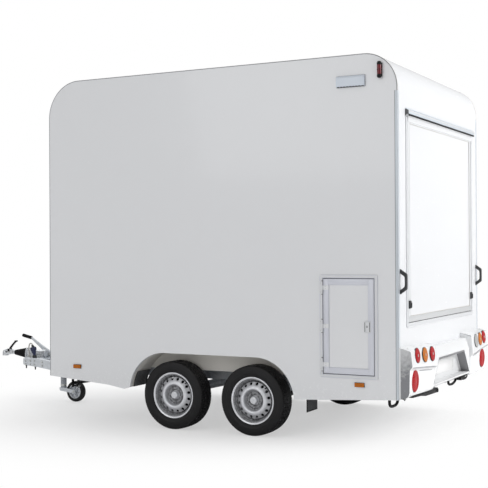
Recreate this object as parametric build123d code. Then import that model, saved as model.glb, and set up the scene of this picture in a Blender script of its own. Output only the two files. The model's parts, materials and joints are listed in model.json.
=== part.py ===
"""A tandem-axle food trailer with a sandwich-panel body, as separate pieces in millimetres.

X runs forward to the tow coupling, Y to the trailer's left and Z up from the ground. The origin is
on the ground under the middle of the whole trailer, so the rear wall and the coupling are placed
from the overall length.
"""
import os
from math import atan2, cos, degrees, hypot, radians, sin, tan

from build123d import *

# Body shell
body_length = 3280
body_width = 2200
roof_z = 3020
wall = 34
roof_radius_rear = 270
roof_radius_front = 320
side_edge_round = 8
floor_underside_z = 490
floor_thickness = 60

# Lower edge of the side walls, from the rear to the front
skirt_rear_z = 377
skirt_arch_rear_z = 331
skirt_arch_front_z = 343
skirt_tip_z = 325
skirt_tip_run = 60
skirt_knee_z = 351
skirt_knee_run = 220
skirt_front_z = 400
front_wall_low_z = 428

# Wheels and axles
tyre_diameter = 578
tyre_width = 185
rim_width = 140
bead_diameter = 355.6
flange_height = 17
flange_thickness = 7
rim_sheet = 5
axle_spacing = 754
axle_middle_from_rear = 1650
wheel_inset = 40
arch_gap_top = 72
arch_gap_ends = 112
arch_radius = 345
liner_thickness = 6
liner_gap = 35

# Round rear lamps and the sloping face of the bumper that carries them
bumper_top_depth = 94
bumper_depth = 112
bumper_edge_z = 748
bumper_ledge_z = 628
lamp_z = 700
lamp_from_side = 150
lamp_pitch = 160
lamp_radius = 56
lamp_base = 6
lens_radius = 49
lens_top_radius = 43
lens_rise = 17

# Reach of the coupling ahead of the body
coupling_reach = 1475

# Places that follow from the sizes above
lamp_tilt = atan2(bumper_depth - bumper_top_depth, bumper_edge_z - bumper_ledge_z)
lamp_depth = bumper_top_depth + (bumper_edge_z - lamp_z) * tan(lamp_tilt)
rear_reach = lamp_depth + lens_rise * cos(lamp_tilt) + lens_top_radius * sin(lamp_tilt)
overall_length = rear_reach + body_length + coupling_reach
rear_x = rear_reach - overall_length / 2
front_x = rear_x + body_length
nose_x = front_x + coupling_reach
side_y = body_width / 2
inner_y = side_y - wall
floor_top_z = floor_underside_z + floor_thickness
tyre_radius = tyre_diameter / 2
bead_radius = bead_diameter / 2
axle_middle_x = rear_x + axle_middle_from_rear
axle_xs = {"rear": axle_middle_x - axle_spacing / 2, "front": axle_middle_x + axle_spacing / 2}
wheel_y = side_y - wheel_inset - tyre_width / 2
arch_top_z = tyre_diameter + arch_gap_top
arch_rear_x = axle_xs["rear"] - tyre_radius - arch_gap_ends
arch_front_x = axle_xs["front"] + tyre_radius + arch_gap_ends
liner_inner_y = wheel_y - tyre_width / 2 - liner_gap
overrun = 20

# Hatches: one in the rear wall and one in the right wall share their section
hatch_low_z = 945
hatch_below_roof = 475
rear_hatch_margin = 214
serving_hatch_margin_rear = 320
serving_hatch_margin_front = 300
hatch_band = 34
trim_proud = 6
panel_gap = 6
leaf_proud = 4
leaf_border = 45
bead_hinge_radius = 5
bead_hinge_clearance = 0.5
bead_hinge_wall = 4
bead_hinge_out = 14
bead_hinge_up = 4
rail_height = 52
rail_depth = 27
neck_sheet = 5
neck_drop = 36
latch_width = 40
latch_height = 61
latch_depth = 14
latch_above_sill = 113

# Doors: the service door in the left wall and the entry door in the front wall share their section
service_door_width = 430
service_door_low_z = 548
service_door_high_z = 1296
service_door_from_rear = 405
entry_door_width = 650
entry_door_low_z = 572
entry_door_below_roof = 560
entry_door_from_side = 480
door_band = 26
hinge_out = 13.5
hinge_over = 2
knuckle_radius = 6.5
knuckle_length = 34
knuckle_gap = 0.5
hinge_leaf = 4
hinge_leaf_width = 46
hinge_end_margin_share = 0.1
lock_width = 52
lock_height = 86
lock_depth = 7
lock_inset = 27
handle_depth = 46
handle_length = 120
handle_bar = 14

# Small pieces on the body
vent_length = 232
vent_height = 112
vent_depth = 24
vent_from_rear = 375
vent_below_roof = 193
outline_lamp_width = 36
outline_lamp_height = 131
outline_lamp_depth = 40
outline_lamp_from_rear = 128
outline_lamp_below_roof = 137
marker_length = 82
marker_height = 35
marker_depth = 16
marker_rear_from_rear = 316
marker_rear_z = 477
marker_front_from_front = 302
marker_front_z = 496
grab_height = 191
grab_grip = 112
grab_depth = 65
grab_bar = 17
grab_width = 24
grab_z = 1271
grab_inset = 46

# Rear bumper moulding
bumper_top_z = 772
bumper_step = 26
bumper_low_z = 428
bumper_foot_z = 385
bumper_round = 10
pod_width = 580
middle_top_z = 728
middle_top_depth = 58
plate_recess_top_z = 634
plate_recess_low_z = 452
plate_recess_top_inset = 175
plate_recess_low_inset = 50
plate_recess_depth = 46
plate_side_gap = 85
plate_height = 112
plate_thickness = 3
plate_z = 536
reflector_radius = 78
reflector_base = 6
reflector_lens_radius = 70
reflector_rise = 12
reflector_z = 514

# Chassis under the floor
rail_from_side = 440
rail_width = 50
rail_z = 400
rail_sheet = 5
cross_height = 60
cross_width = 60
end_beam_height = 90
end_beam_width = 60
end_beam_side_gap = 26
end_beam_inset = 16
outrigger_run = 90
outrigger_height = 70
drawbar_height = 95
drawbar_width = 50
drawbar_rear_run = 700
drawbar_rear_from_side = 310
drawbar_front_back = 300
drawbar_front_y = 66
drawbar_plate = 10
drawbar_plate_lap = 20
brake_rod_radius = 5
brake_rod_z = 316
equaliser_half = 120
equaliser_depth = 16
equaliser_ahead = 130
brake_hanger = 7

# Axle beams and the arms that carry the wheels
beam_radius = 40
beam_ahead = 168
beam_z = 268
arm_width = 40
arm_end_radius = 46
arm_hub_radius = 38
spindle_radius = 18
spindle_clearance = 1
drum_radius = 116
drum_gap = 6
backplate_thickness = 4
axle_bracket_width = 90

# Tow coupling, its overrun device and handbrake
coupling_axis_z = 462
ball_diameter = 50
ball_clearance = 0.2
socket_wall = 9
socket_depth = 20
socket_neck_half = 22
socket_neck_height = 40
clamp_back = 92
clamp_length = 62
clamp_radius = 34
draw_tube_radius = 22
bellows_length = 122
bellows_bore_gap = 1
bellows_front_radius = 33
bellows_rear_radius = 52
bellows_folds = 6
bellows_fold_depth = 7
housing_radius = 42
housing_length = 290
housing_flange = 14
housing_flange_radius = 58
tow_lever_length = 128
tow_lever_angle = 138
tow_lever_width = 24
tow_lever_height = 10
tow_lever_root = 6
brake_lever_y = -64
brake_pivot_back = 640
brake_pivot_z = 468
brake_elbow_back = 337
brake_elbow_z = 622
brake_tip_back = 214
brake_tip_z = 642
brake_lever_width = 12
brake_lever_height = 30
brake_grip_radius = 15
plug_back = 440
plug_radius = 22
plug_length = 92
plug_tilt = 18
plug_lift = 8
lead_radius = 5
lead_bend = 30
lead_rise = 46
lead_run = 75

# Jockey wheel, which slides in a clamp on the drawbar
jockey_back = 825
jockey_y = 50
jockey_tube_radius = 30
jockey_tube_wall = 4
jockey_tube_clearance = 0.4
jockey_tube_high_z = 690
jockey_travel = 85
jockey_clamp_wall = 12
jockey_trail = 155
jockey_wheel_diameter = 208
jockey_wheel_width = 58
jockey_rim_radius = 72
jockey_rim_web = 16
jockey_rim_lip = 8
jockey_hub_radius = 20
jockey_fork_gap = 8
jockey_fork_sheet = 6
jockey_fork_eye = 22
jockey_fork_top_z = 124
jockey_fork_low_z = 86
jockey_head_height = 12
jockey_axle_radius = 8
jockey_axle_clearance = 0.4
jockey_cap_height = 14
jockey_crank_reach = 120
jockey_crank_radius = 7
jockey_crank_rise = 26
jockey_knob_radius = 13
jockey_knob_length = 70

# Corner steadies, drawn folded with the foot towards the trailer's middle
steady_width = 46
steady_height = 36
steady_sheet = 4
steady_pin_radius = 7
steady_pin_clearance = 0.4
steady_eye_radius = 16
steady_cheek = 5
steady_cheek_gap = 6
steady_from_side = 270
rear_steady_z = 352
steady_foot_length = 58
steady_foot_width = 70
steady_foot_sheet = 8
rear_steady_length = 590
front_steady_length = 560
front_steady_gap = 6

# Mud flaps behind the wheels
flap_width = 206
flap_low_z = 228
flap_thickness = 8
flap_outer_gap = 40

# Tyre section: share of the half width, and the drop from the tyre radius as a share of the width
tyre_crown_shares = (0.76, 0.012)
tyre_corner_shares = (0.87, 0.032)
tyre_shoulder_shares = (0.93, 0.075)
tyre_bulge_share = 0.46

# Wheel disc, outboard side: share of the bead radius, and share of the half rim width
disc_shares = [
    (0.862, 0.50),
    (0.800, 0.60),
    (0.640, 0.86),
    (0.600, 0.92),
    (0.545, 0.92),
    (0.500, 0.84),
    (0.445, 0.50),
    (0.400, 0.43),
]
disc_sheet = 6
disc_hole_count = 16
disc_hole_diameter = 26
disc_hole_circle = 274
rim_well_share = 0.5
rim_slope_share = 0.2
drum_throat_share = 0.55
drum_chamfer_share = 0.15
hub_cap_radius = 32
hub_cap_rise = 34
hub_cap_side_share = 0.75
hub_cap_waist_share = 0.94
hub_cap_crown_share = 0.6
bolt_count = 5
bolt_circle = 112
bolt_radius = 9
bolt_rise = 11


# Places on the body and chassis that follow its width, length and height
hatch_high_z = roof_z - hatch_below_roof
rear_hatch_width = body_width - 2 * rear_hatch_margin
serving_hatch_width = body_length - serving_hatch_margin_rear - serving_hatch_margin_front
serving_hatch_from_rear = serving_hatch_margin_rear + serving_hatch_width / 2
entry_door_high_z = roof_z - entry_door_below_roof
entry_door_y = entry_door_from_side - side_y
vent_z = roof_z - vent_below_roof
outline_lamp_z = roof_z - outline_lamp_below_roof
lamp_first_y = side_y - lamp_from_side
pod_inner_y = side_y - pod_width
plate_recess_top_half = pod_inner_y - plate_recess_top_inset
plate_recess_low_half = pod_inner_y - plate_recess_low_inset
plate_length = 2 * (plate_recess_top_half - plate_side_gap)
rail_y = side_y - rail_from_side
end_beam_half = inner_y - end_beam_side_gap
drawbar_rear_y = side_y - drawbar_rear_from_side
steady_y = side_y - steady_from_side
jockey_x = nose_x - jockey_back
jockey_plate_x = jockey_x + jockey_tube_radius + jockey_tube_clearance + jockey_clamp_wall


def side_slab(outline, y_low, y_high):
    """A drawing of (X, Z) made solid from one Y to another."""
    plane = Plane(origin=(0, y_high, 0), x_dir=(1, 0, 0), z_dir=(0, -1, 0))
    return extrude(plane * outline, y_high - y_low)


def cross_slab(outline, x_low, x_high):
    """A drawing of (Y, Z) made solid from one X to another."""
    plane = Plane(origin=(x_low, 0, 0), x_dir=(0, 1, 0), z_dir=(1, 0, 0))
    return extrude(plane * outline, x_high - x_low)


def block(x_low, x_high, y_low, y_high, z_low, z_high):
    """A box given by its two corners."""
    size = (x_high - x_low, y_high - y_low, z_high - z_low)
    return Pos((x_low + x_high) / 2, (y_low + y_high) / 2, (z_low + z_high) / 2) * Box(*size)


def rod(start, end, radius):
    """A round bar between two points."""
    start, end = Vector(*start), Vector(*end)
    plane = Plane(origin=start, z_dir=end - start)
    return extrude(plane * Circle(radius), (end - start).length)


def polygon(*points):
    """A face with straight edges."""
    return make_face(Polyline(*points, close=True))


def mirrored(shape):
    """The same piece on the other side of the trailer."""
    return mirror(shape, about=Plane.XZ)


def both_sides(shape):
    """The piece and its mirror image, as two solids."""
    return Compound([*shape.solids(), *mirrored(shape).solids()])


def arch_outline(grow, low_z):
    """The wheel arch over both wheels, grown outwards, down to low_z."""
    left, right = arch_rear_x - grow, arch_front_x + grow
    top, radius = arch_top_z + grow, arch_radius + grow
    edges = [
        Polyline((left, top - radius), (left, low_z), (right, low_z), (right, top - radius)),
        CenterArc((right - radius, top - radius), radius, 0, 90),
        Line((right - radius, top), (left + radius, top)),
        CenterArc((left + radius, top - radius), radius, 90, 90),
    ]
    return make_face(edges)


def side_outline():
    """A side wall's outer edge: sloping skirt, two upright ends and a rounded roof line."""
    rear, front = roof_radius_rear, roof_radius_front
    edges = [
        Polyline(
            (rear_x, roof_z - rear),
            (rear_x, skirt_rear_z),
            (arch_rear_x, skirt_arch_rear_z),
            (arch_front_x, skirt_arch_front_z),
            (arch_front_x + skirt_tip_run, skirt_tip_z),
            (arch_front_x + skirt_knee_run, skirt_knee_z),
            (front_x, skirt_front_z),
            (front_x, roof_z - front),
        ),
        CenterArc((front_x - front, roof_z - front), front, 0, 90),
        Line((front_x - front, roof_z), (rear_x + rear, roof_z)),
        CenterArc((rear_x + rear, roof_z - rear), rear, 90, 90),
    ]
    return make_face(edges)


def side_wall():
    """The left wall with its wheel arch, before any door or hatch is cut."""
    panel = side_slab(side_outline(), inner_y, side_y)
    outer = panel.faces().sort_by(Axis.Y)[-1]
    ends = [edge for edge in outer.edges() if edge.center().Z > skirt_front_z]
    panel = fillet(ends, side_edge_round)
    arch_low_z = min(skirt_tip_z, skirt_arch_rear_z) - arch_radius
    return panel - side_slab(arch_outline(0, arch_low_z), inner_y - overrun, side_y + overrun)


def wheel_housing():
    """The left wheel housing: a curved band behind the arch, closed on its inboard side."""
    low_z = floor_underside_z - arch_radius
    band_low_z = max(skirt_arch_rear_z, skirt_arch_front_z)
    plate_y = liner_inner_y - liner_thickness
    outer = side_slab(arch_outline(liner_thickness, low_z), plate_y, inner_y)
    hollow = side_slab(arch_outline(0, low_z - overrun), liner_inner_y, inner_y + overrun)
    ends = (arch_rear_x - overrun, arch_front_x + overrun)
    under_band = block(*ends, plate_y - overrun, inner_y + overrun, low_z - overrun, band_low_z)
    under_plate = block(*ends, plate_y - overrun, liner_inner_y, low_z, floor_underside_z)
    return outer - hollow - under_band - under_plate


def floor_panel():
    """The sandwich floor, notched for the wheel housings."""
    panel = block(rear_x + wall, front_x - wall, -inner_y, inner_y, floor_underside_z, floor_top_z)
    notch_outline = arch_outline(liner_thickness, floor_underside_z - arch_radius)
    notch = side_slab(notch_outline, liner_inner_y - liner_thickness, inner_y + overrun)
    return panel - notch - mirrored(notch)


def roof_shell():
    """The roof panel with its rounded ends, which stand on the front and rear walls."""
    rear, front = roof_radius_rear, roof_radius_front
    rear_in, front_in = rear - wall, front - wall
    edges = [
        Line((rear_x, roof_z - rear), (rear_x + wall, roof_z - rear)),
        CenterArc((rear_x + rear, roof_z - rear), rear_in, 90, 90),
        Line((rear_x + rear, roof_z - wall), (front_x - front, roof_z - wall)),
        CenterArc((front_x - front, roof_z - front), front_in, 0, 90),
        Line((front_x - wall, roof_z - front), (front_x, roof_z - front)),
        CenterArc((front_x - front, roof_z - front), front, 0, 90),
        Line((front_x - front, roof_z), (rear_x + rear, roof_z)),
        CenterArc((rear_x + rear, roof_z - rear), rear, 90, 90),
    ]
    return side_slab(make_face(edges), -inner_y, inner_y)


def rear_wall():
    """The rear wall with the opening for its hatch."""
    panel = block(rear_x, rear_x + wall, -inner_y, inner_y, skirt_rear_z, roof_z - roof_radius_rear)
    return panel - at_rear(hatch_opening(rear_hatch_width))


def front_wall():
    """The front wall with the opening for the entry door."""
    high_z = roof_z - roof_radius_front
    panel = block(front_x - wall, front_x, -inner_y, inner_y, front_wall_low_z, high_z)
    opening = door_opening(entry_door_width, entry_door_low_z, entry_door_high_z)
    return panel - at_front_door(opening)


# Doors and hatches are drawn in a wall whose outer face is the plane X = 0 and faces -X, centred on
# Y = 0, and are then carried to their walls.
def at_rear(shape):
    """Carries a hatch to the rear wall."""
    return Pos(rear_x, 0, 0) * shape


def at_serving_side(shape):
    """Carries a hatch to the right wall."""
    return Pos(rear_x + serving_hatch_from_rear, -side_y, 0) * Rot(0, 0, 90) * shape


def at_service_door(shape):
    """Carries a door to the left wall."""
    return Pos(rear_x + service_door_from_rear, side_y, 0) * Rot(0, 0, -90) * shape


def at_front_door(shape):
    """Carries a door to the front wall."""
    return Pos(front_x, entry_door_y, 0) * Rot(0, 0, 180) * shape


def hatch_opening(width):
    """What a hatch cuts out of its wall."""
    return block(-overrun, wall + overrun, -width / 2, width / 2, hatch_low_z, hatch_high_z)


def door_opening(width, low_z, high_z):
    """What a door cuts out of its wall."""
    return block(-overrun, wall + overrun, -width / 2, width / 2, low_z, high_z)


def hatch_frame(width):
    """The trim on the wall down both sides of a hatch and along its sill."""
    outer_y, low_z = width / 2 + hatch_band, hatch_low_z - hatch_band
    high_z = hatch_axis()[1] - bead_hinge_radius - bead_hinge_clearance - bead_hinge_wall
    plate = block(-trim_proud, 0, -outer_y, outer_y, low_z, high_z)
    hole = block(-trim_proud - overrun, overrun, -width / 2, width / 2, hatch_low_z, hatch_high_z)
    plate -= hole
    return fillet(plate.edges().filter_by(Axis.X).sort_by(Axis.Z)[:2], hatch_band / 2)


def hatch_axis():
    """Where a hatch turns, as (X, Z) in the drawing wall."""
    return -bead_hinge_out, hatch_high_z + bead_hinge_up


def hatch_rail(width):
    """The fixed half of the hinge: a hooded rail whose socket wraps the bead by over half a turn."""
    axis_x, axis_z = hatch_axis()
    reach = bead_hinge_radius + bead_hinge_clearance
    half = width / 2 + hatch_band
    top_z = hatch_high_z + rail_height
    hood_z = axis_z + reach + bead_hinge_wall
    hood = polygon(
        (0, hatch_high_z),
        (0, top_z),
        (-rail_depth / 3, top_z),
        (-rail_depth, top_z - rail_depth / 3),
        (-rail_depth, hood_z),
        (axis_x, hood_z),
        (-neck_sheet, hatch_high_z),
    )
    ring = Pos(axis_x, axis_z) * Circle(reach + bead_hinge_wall)
    bore = Pos(axis_x, axis_z) * Circle(reach)
    far = 4 * reach
    mouth = polygon(
        (axis_x, axis_z),
        (axis_x + far, axis_z - far),
        (axis_x - far, axis_z - far),
        (axis_x - far, axis_z + reach / 3),
    )
    section = hood + ring - bore - mouth
    return side_to_cross(section, half)


def side_to_cross(section, half):
    """A section drawn as (X, Z) made solid along Y, evenly about Y = 0."""
    return side_slab(section, -half, half)


def hatch_flap(width):
    """A top-hung flap: bordered panel, hinge neck and the round bead that it turns on."""
    axis_x, axis_z = hatch_axis()
    half = width / 2 - panel_gap
    low_z, high_z = hatch_low_z + panel_gap, hatch_high_z - panel_gap
    panel = block(-leaf_proud, wall, -half, half, low_z, high_z)
    field = half - leaf_border
    panel -= block(-leaf_proud, 0, -field, field, low_z + leaf_border, high_z - leaf_border)
    neck = polygon(
        (-leaf_proud, high_z - neck_drop),
        (-leaf_proud - neck_sheet, high_z - neck_drop),
        (-leaf_proud - neck_sheet, high_z),
        (axis_x - neck_sheet / 4, axis_z - bead_hinge_radius / 2),
        (axis_x + neck_sheet / 2, axis_z - bead_hinge_radius / 2),
        (-leaf_proud, high_z),
    )
    bead = Pos(axis_x, axis_z) * Circle(bead_hinge_radius)
    return panel + side_to_cross(neck + bead, half)


def hatch_latches(width):
    """Two turn latches on a flap's lower corners."""
    face_x = -leaf_proud
    y = width / 2 - panel_gap - latch_width / 2
    low_z = hatch_low_z + latch_above_sill
    body = block(
        face_x - latch_depth, face_x, y - latch_width / 2, y + latch_width / 2, low_z, low_z + latch_height
    )
    body = chamfer(body.edges().group_by(Axis.X)[0], latch_depth / 3)
    return both_sides(body)


def door_frame(width, low_z, high_z):
    """The trim round a door, with the fixed halves of its hinges."""
    half = width / 2 + door_band
    plate = block(-trim_proud, 0, -half, half, low_z - door_band, high_z + door_band)
    plate = fillet(plate.edges().filter_by(Axis.X), door_band / 2)
    plate -= block(-trim_proud - overrun, overrun, -width / 2, width / 2, low_z, high_z)
    axis_y = width / 2 + hinge_over
    for z in hinge_places(low_z, high_z):
        offset = knuckle_length + knuckle_gap
        leaf_low, leaf_high = z - offset - knuckle_length / 2, z + offset + knuckle_length / 2
        face_x = -trim_proud
        plate += block(face_x - hinge_leaf, face_x, axis_y + knuckle_radius, half, leaf_low, leaf_high)
        for place in (z - offset, z + offset):
            low, high = place - knuckle_length / 2, place + knuckle_length / 2
            plate += rod((-hinge_out, axis_y, low), (-hinge_out, axis_y, high), knuckle_radius)
            plate += block(-hinge_out, face_x, axis_y, axis_y + knuckle_radius, low, high)
    return plate


def hinge_places(low_z, high_z):
    """The heights of a door's three hinges."""
    margin = (high_z - low_z) * hinge_end_margin_share
    return low_z + margin, (low_z + high_z) / 2, high_z - margin


def door_leaf(width, low_z, high_z):
    """A door: bordered panel with the moving halves of its hinges."""
    half = width / 2 - panel_gap
    low, high = low_z + panel_gap, high_z - panel_gap
    leaf = block(-leaf_proud, wall, -half, half, low, high)
    field = half - leaf_border
    leaf -= block(-leaf_proud, 0, -field, field, low + leaf_border, high - leaf_border)
    axis_y = width / 2 + hinge_over
    for z in hinge_places(low_z, high_z):
        bottom, top = z - knuckle_length / 2, z + knuckle_length / 2
        face_x = -leaf_proud
        leaf += block(face_x - hinge_leaf, face_x, half - hinge_leaf_width, half, bottom, top)
        leaf += block(face_x - 2 * hinge_leaf, face_x - hinge_leaf, half - hinge_leaf, axis_y, bottom, top)
        leaf += rod((-hinge_out, axis_y, bottom), (-hinge_out, axis_y, top), knuckle_radius)
    return leaf


def door_lock(width, low_z, high_z):
    """A flush lock plate with a keyed knob, near the door's free edge."""
    y = panel_gap + lock_inset + lock_width / 2 - width / 2
    z = (low_z + high_z) / 2
    half_y, half_z = lock_width / 2, lock_height / 2
    return block(-leaf_proud - lock_depth, -leaf_proud, y - half_y, y + half_y, z - half_z, z + half_z)


def door_handle(width, low_z, high_z):
    """A bow handle on a plate, near the door's free edge."""
    y = panel_gap + leaf_border / 2 - width / 2
    z = (low_z + high_z) / 2
    face_x = -leaf_proud
    half = handle_length / 2
    bow = polygon(
        (face_x, z - half),
        (face_x, z - half + handle_bar),
        (face_x - handle_depth + handle_bar, z - half + 2 * handle_bar),
        (face_x - handle_depth + handle_bar, z + half - 2 * handle_bar),
        (face_x, z + half - handle_bar),
        (face_x, z + half),
        (face_x - handle_depth, z + half - handle_bar),
        (face_x - handle_depth, z - half + handle_bar),
    )
    return side_slab(bow, y - handle_bar / 2, y + handle_bar / 2)


def tyre():
    """A tyre about the Y axis."""
    half, seat = tyre_width / 2, rim_width / 2
    flange = bead_radius + flange_height
    bulge = flange + (tyre_radius - flange) * tyre_bulge_share
    shares = (tyre_crown_shares, tyre_corner_shares, tyre_shoulder_shares)
    crown, corner, shoulder = [(half * y, tyre_radius - tyre_width * drop) for y, drop in shares]
    side = [
        ThreePointArc((seat, flange), (half, bulge), shoulder),
        ThreePointArc(shoulder, corner, crown),
    ]
    edges = [
        Polyline((-seat, flange), (-seat, bead_radius), (seat, bead_radius), (seat, flange)),
        *side,
        ThreePointArc(crown, (0, tyre_radius), (-crown[0], crown[1])),
        *[mirror(edge, about=Plane.YZ) for edge in side],
    ]
    return revolve(Plane.YZ * make_face(edges), Axis.Y)


def rim_barrel():
    """The rim's section, from the outboard flange over the well to the inboard flange."""
    seat, flange = rim_width / 2, bead_radius + flange_height
    inside = bead_radius - rim_sheet
    drop_r = bead_radius * disc_shares[0][0] + rim_sheet
    well, slope = seat * rim_well_share, seat * rim_slope_share
    return polygon(
        (seat + flange_thickness, inside),
        (seat + flange_thickness, flange),
        (seat, flange),
        (seat, bead_radius),
        (well + slope, bead_radius),
        (well, drop_r),
        (-slope, drop_r),
        (-well, bead_radius),
        (-seat, bead_radius),
        (-seat, flange),
        (-seat - flange_thickness, flange),
        (-seat - flange_thickness, inside),
        (-well - rim_sheet, inside),
        (-slope - rim_sheet, drop_r - rim_sheet),
        (well + rim_sheet, drop_r - rim_sheet),
        (well + slope + rim_sheet, inside),
    )


def rim():
    """A pressed steel wheel with its drum, about the Y axis, outboard side to +Y."""
    seat = rim_width / 2
    face = [(share_y * seat, share_r * bead_radius) for share_r, share_y in disc_shares]
    hub_y = face[-1][0]
    back = [(y - disc_sheet, r) for y, r in reversed(face)]
    disc = polygon(*face, (hub_y, 0), (hub_y - disc_sheet, 0), *back)
    drum_face_y = hub_y - disc_sheet
    drum_back_y = backplate_outer_y() + drum_gap - wheel_y
    drum = polygon(
        (drum_face_y, 0),
        (drum_face_y, drum_radius * drum_throat_share),
        (drum_face_y - drum_radius * drum_chamfer_share, drum_radius),
        (drum_back_y, drum_radius),
        (drum_back_y, 0),
    )
    cap = polygon(
        (hub_y, 0),
        (hub_y, hub_cap_radius),
        (hub_y + hub_cap_rise * hub_cap_side_share, hub_cap_radius * hub_cap_waist_share),
        (hub_y + hub_cap_rise, hub_cap_radius * hub_cap_crown_share),
        (hub_y + hub_cap_rise, 0),
    )
    wheel = revolve(Plane.YZ * (rim_barrel() + disc), Axis.Y)
    wheel += revolve(Plane.YZ * (drum + cap), Axis.Y)
    for x, z in ring_of(disc_hole_count, disc_hole_circle):
        wheel -= rod((x, hub_y, z), (x, seat + overrun, z), disc_hole_diameter / 2)
    for x, z in ring_of(bolt_count, bolt_circle):
        wheel += rod((x, hub_y, z), (x, hub_y + bolt_rise, z), bolt_radius)
    bore_end_y = hub_y - disc_sheet - spindle_radius
    return wheel - rod((0, drum_back_y - overrun, 0), (0, bore_end_y, 0), spindle_radius + spindle_clearance)


def ring_of(count, diameter):
    """Evenly spaced points on a circle, as (X, Z)."""
    turns = [radians(360 * i / count) for i in range(count)]
    return [(diameter / 2 * sin(turn), diameter / 2 * cos(turn)) for turn in turns]


def backplate_outer_y():
    """The outboard face of the fixed plate behind a drum."""
    return liner_inner_y + arm_width + backplate_thickness


def swing_arm(hub_x):
    """A left trailing arm with its backplate and the spindle that its wheel turns on."""
    low_y = arm_inner_y()
    high_y = low_y + arm_width
    hub = (hub_x, tyre_radius)
    root = (hub_x + beam_ahead, beam_z)
    run = hypot(root[0] - hub[0], root[1] - hub[1])
    turn = degrees(atan2(root[1] - hub[1], root[0] - hub[0]))
    waist = polygon((0, arm_hub_radius), (0, -arm_hub_radius), (run, -arm_end_radius), (run, arm_end_radius))
    shape = Pos(*hub) * Rot(0, 0, turn) * waist
    shape += Pos(*hub) * Circle(arm_hub_radius)
    shape += Pos(*root) * Circle(arm_end_radius)
    arm = side_slab(shape, low_y, high_y)
    plate_y = backplate_outer_y()
    arm += rod((hub_x, high_y, hub[1]), (hub_x, plate_y - backplate_thickness, hub[1]), arm_hub_radius)
    arm += rod((hub_x, plate_y - backplate_thickness, hub[1]), (hub_x, plate_y, hub[1]), drum_radius)
    hub_y = disc_shares[-1][1] * rim_width / 2
    tip_y = wheel_y + hub_y - disc_sheet - spindle_radius - drum_gap
    arm += rod((hub_x, plate_y, hub[1]), (hub_x, tip_y, hub[1]), spindle_radius)
    return arm


def arm_inner_y():
    """The inboard face of the trailing arms, where the axle beams end."""
    return liner_inner_y - liner_thickness - arm_width - liner_thickness


def axle_beam(hub_x):
    """A round axle beam with its two rail brackets."""
    x, half = hub_x + beam_ahead, arm_inner_y()
    beam = rod((x, -half, beam_z), (x, half, beam_z), beam_radius)
    for side in (-1, 1):
        y = side * rail_y
        bracket = cross_bracket(x)
        beam += side_slab(bracket, y - rail_width / 2, y + rail_width / 2)
    return beam


def cross_bracket(x):
    """The saddle between a rail and an axle beam, drawn as (X, Z)."""
    top, low = axle_bracket_width / 2, beam_radius
    return polygon((x - top, rail_z), (x + top, rail_z), (x + low, beam_z), (x - low, beam_z))


def lamp(base, rise, base_radius, low_radius, top_radius):
    """A round lamp facing -X on the plane X = 0."""
    outline = polygon(
        (0, 0), (0, base_radius), (-base, base_radius), (-base, low_radius), (-rise, top_radius), (-rise, 0)
    )
    return revolve(Plane.XY * outline, Axis.X)


def round_lamp(y):
    """A lamp on the sloping face of the bumper."""
    shape = lamp(lamp_base, lens_rise, lamp_radius, lens_radius, lens_top_radius)
    return Pos(rear_x - lamp_depth, y, lamp_z) * Rot(0, degrees(lamp_tilt), 0) * shape


def reflectors():
    """The two large round lamps low on the bumper."""
    lens = reflector_lens_radius
    shape = lamp(reflector_base, reflector_rise, reflector_radius, lens, lens)
    x = rear_x - bumper_depth + bumper_step
    return Compound([*(Pos(x, side * lamp_first_y, reflector_z) * shape for side in (1, -1))])


def rear_bumper():
    """The moulding under the rear hatch: two lamp pods and a recess for the number plate."""
    low_depth = bumper_depth - bumper_step
    pod = polygon(
        (0, bumper_top_z),
        (-bumper_top_depth, bumper_edge_z),
        (-bumper_depth, bumper_ledge_z),
        (-low_depth, bumper_ledge_z - bumper_step),
        (-low_depth, bumper_low_z),
        (0, bumper_foot_z),
    )
    middle = polygon(
        (0, middle_top_z),
        (-middle_top_depth, middle_top_z),
        (-low_depth, plate_recess_top_z),
        (-low_depth, bumper_low_z),
        (0, bumper_foot_z),
    )
    pod = fillet([v for v in pod.vertices() if v.X < 0], bumper_round)
    middle = fillet([v for v in middle.vertices() if v.X < 0], bumper_round)
    shape = side_slab(middle, -pod_inner_y, pod_inner_y)
    shape += side_slab(pod, pod_inner_y, side_y)
    shape += side_slab(pod, -side_y, -pod_inner_y)
    recess = polygon(
        (-plate_recess_low_half, plate_recess_low_z),
        (plate_recess_low_half, plate_recess_low_z),
        (plate_recess_top_half, plate_recess_top_z),
        (-plate_recess_top_half, plate_recess_top_z),
    )
    shape -= cross_slab(recess, -bumper_depth, plate_recess_depth - low_depth)
    return Pos(rear_x, 0, 0) * shape


def number_plate():
    """A blank plate on the back of the recess."""
    x = rear_x - bumper_depth + bumper_step + plate_recess_depth
    half_y, half_z = plate_length / 2, plate_height / 2
    return block(x - plate_thickness, x, -half_y, half_y, plate_z - half_z, plate_z + half_z)


def side_markers():
    """Four marker lamps, two on each side wall."""
    places = (
        (rear_x + marker_rear_from_rear, marker_rear_z),
        (front_x - marker_front_from_front, marker_front_z),
    )
    half_x, half_z = marker_length / 2, marker_height / 2
    lamps = []
    for x, z in places:
        body = block(x - half_x, x + half_x, side_y, side_y + marker_depth, z - half_z, z + half_z)
        lamps += both_sides(chamfer(body.edges().group_by(Axis.Y)[-1], marker_depth / 3)).solids()
    return Compound(lamps)


def outline_lamps():
    """The two marker lamps high at the rear corners, on rubber stalks."""
    x, half_x, half_z = rear_x + outline_lamp_from_rear, outline_lamp_width / 2, outline_lamp_height / 2
    far_y = side_y + outline_lamp_depth
    body = block(x - half_x, x + half_x, side_y, far_y, outline_lamp_z - half_z, outline_lamp_z + half_z)
    return both_sides(chamfer(body.edges().group_by(Axis.Y)[-1], outline_lamp_width / 4))


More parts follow.
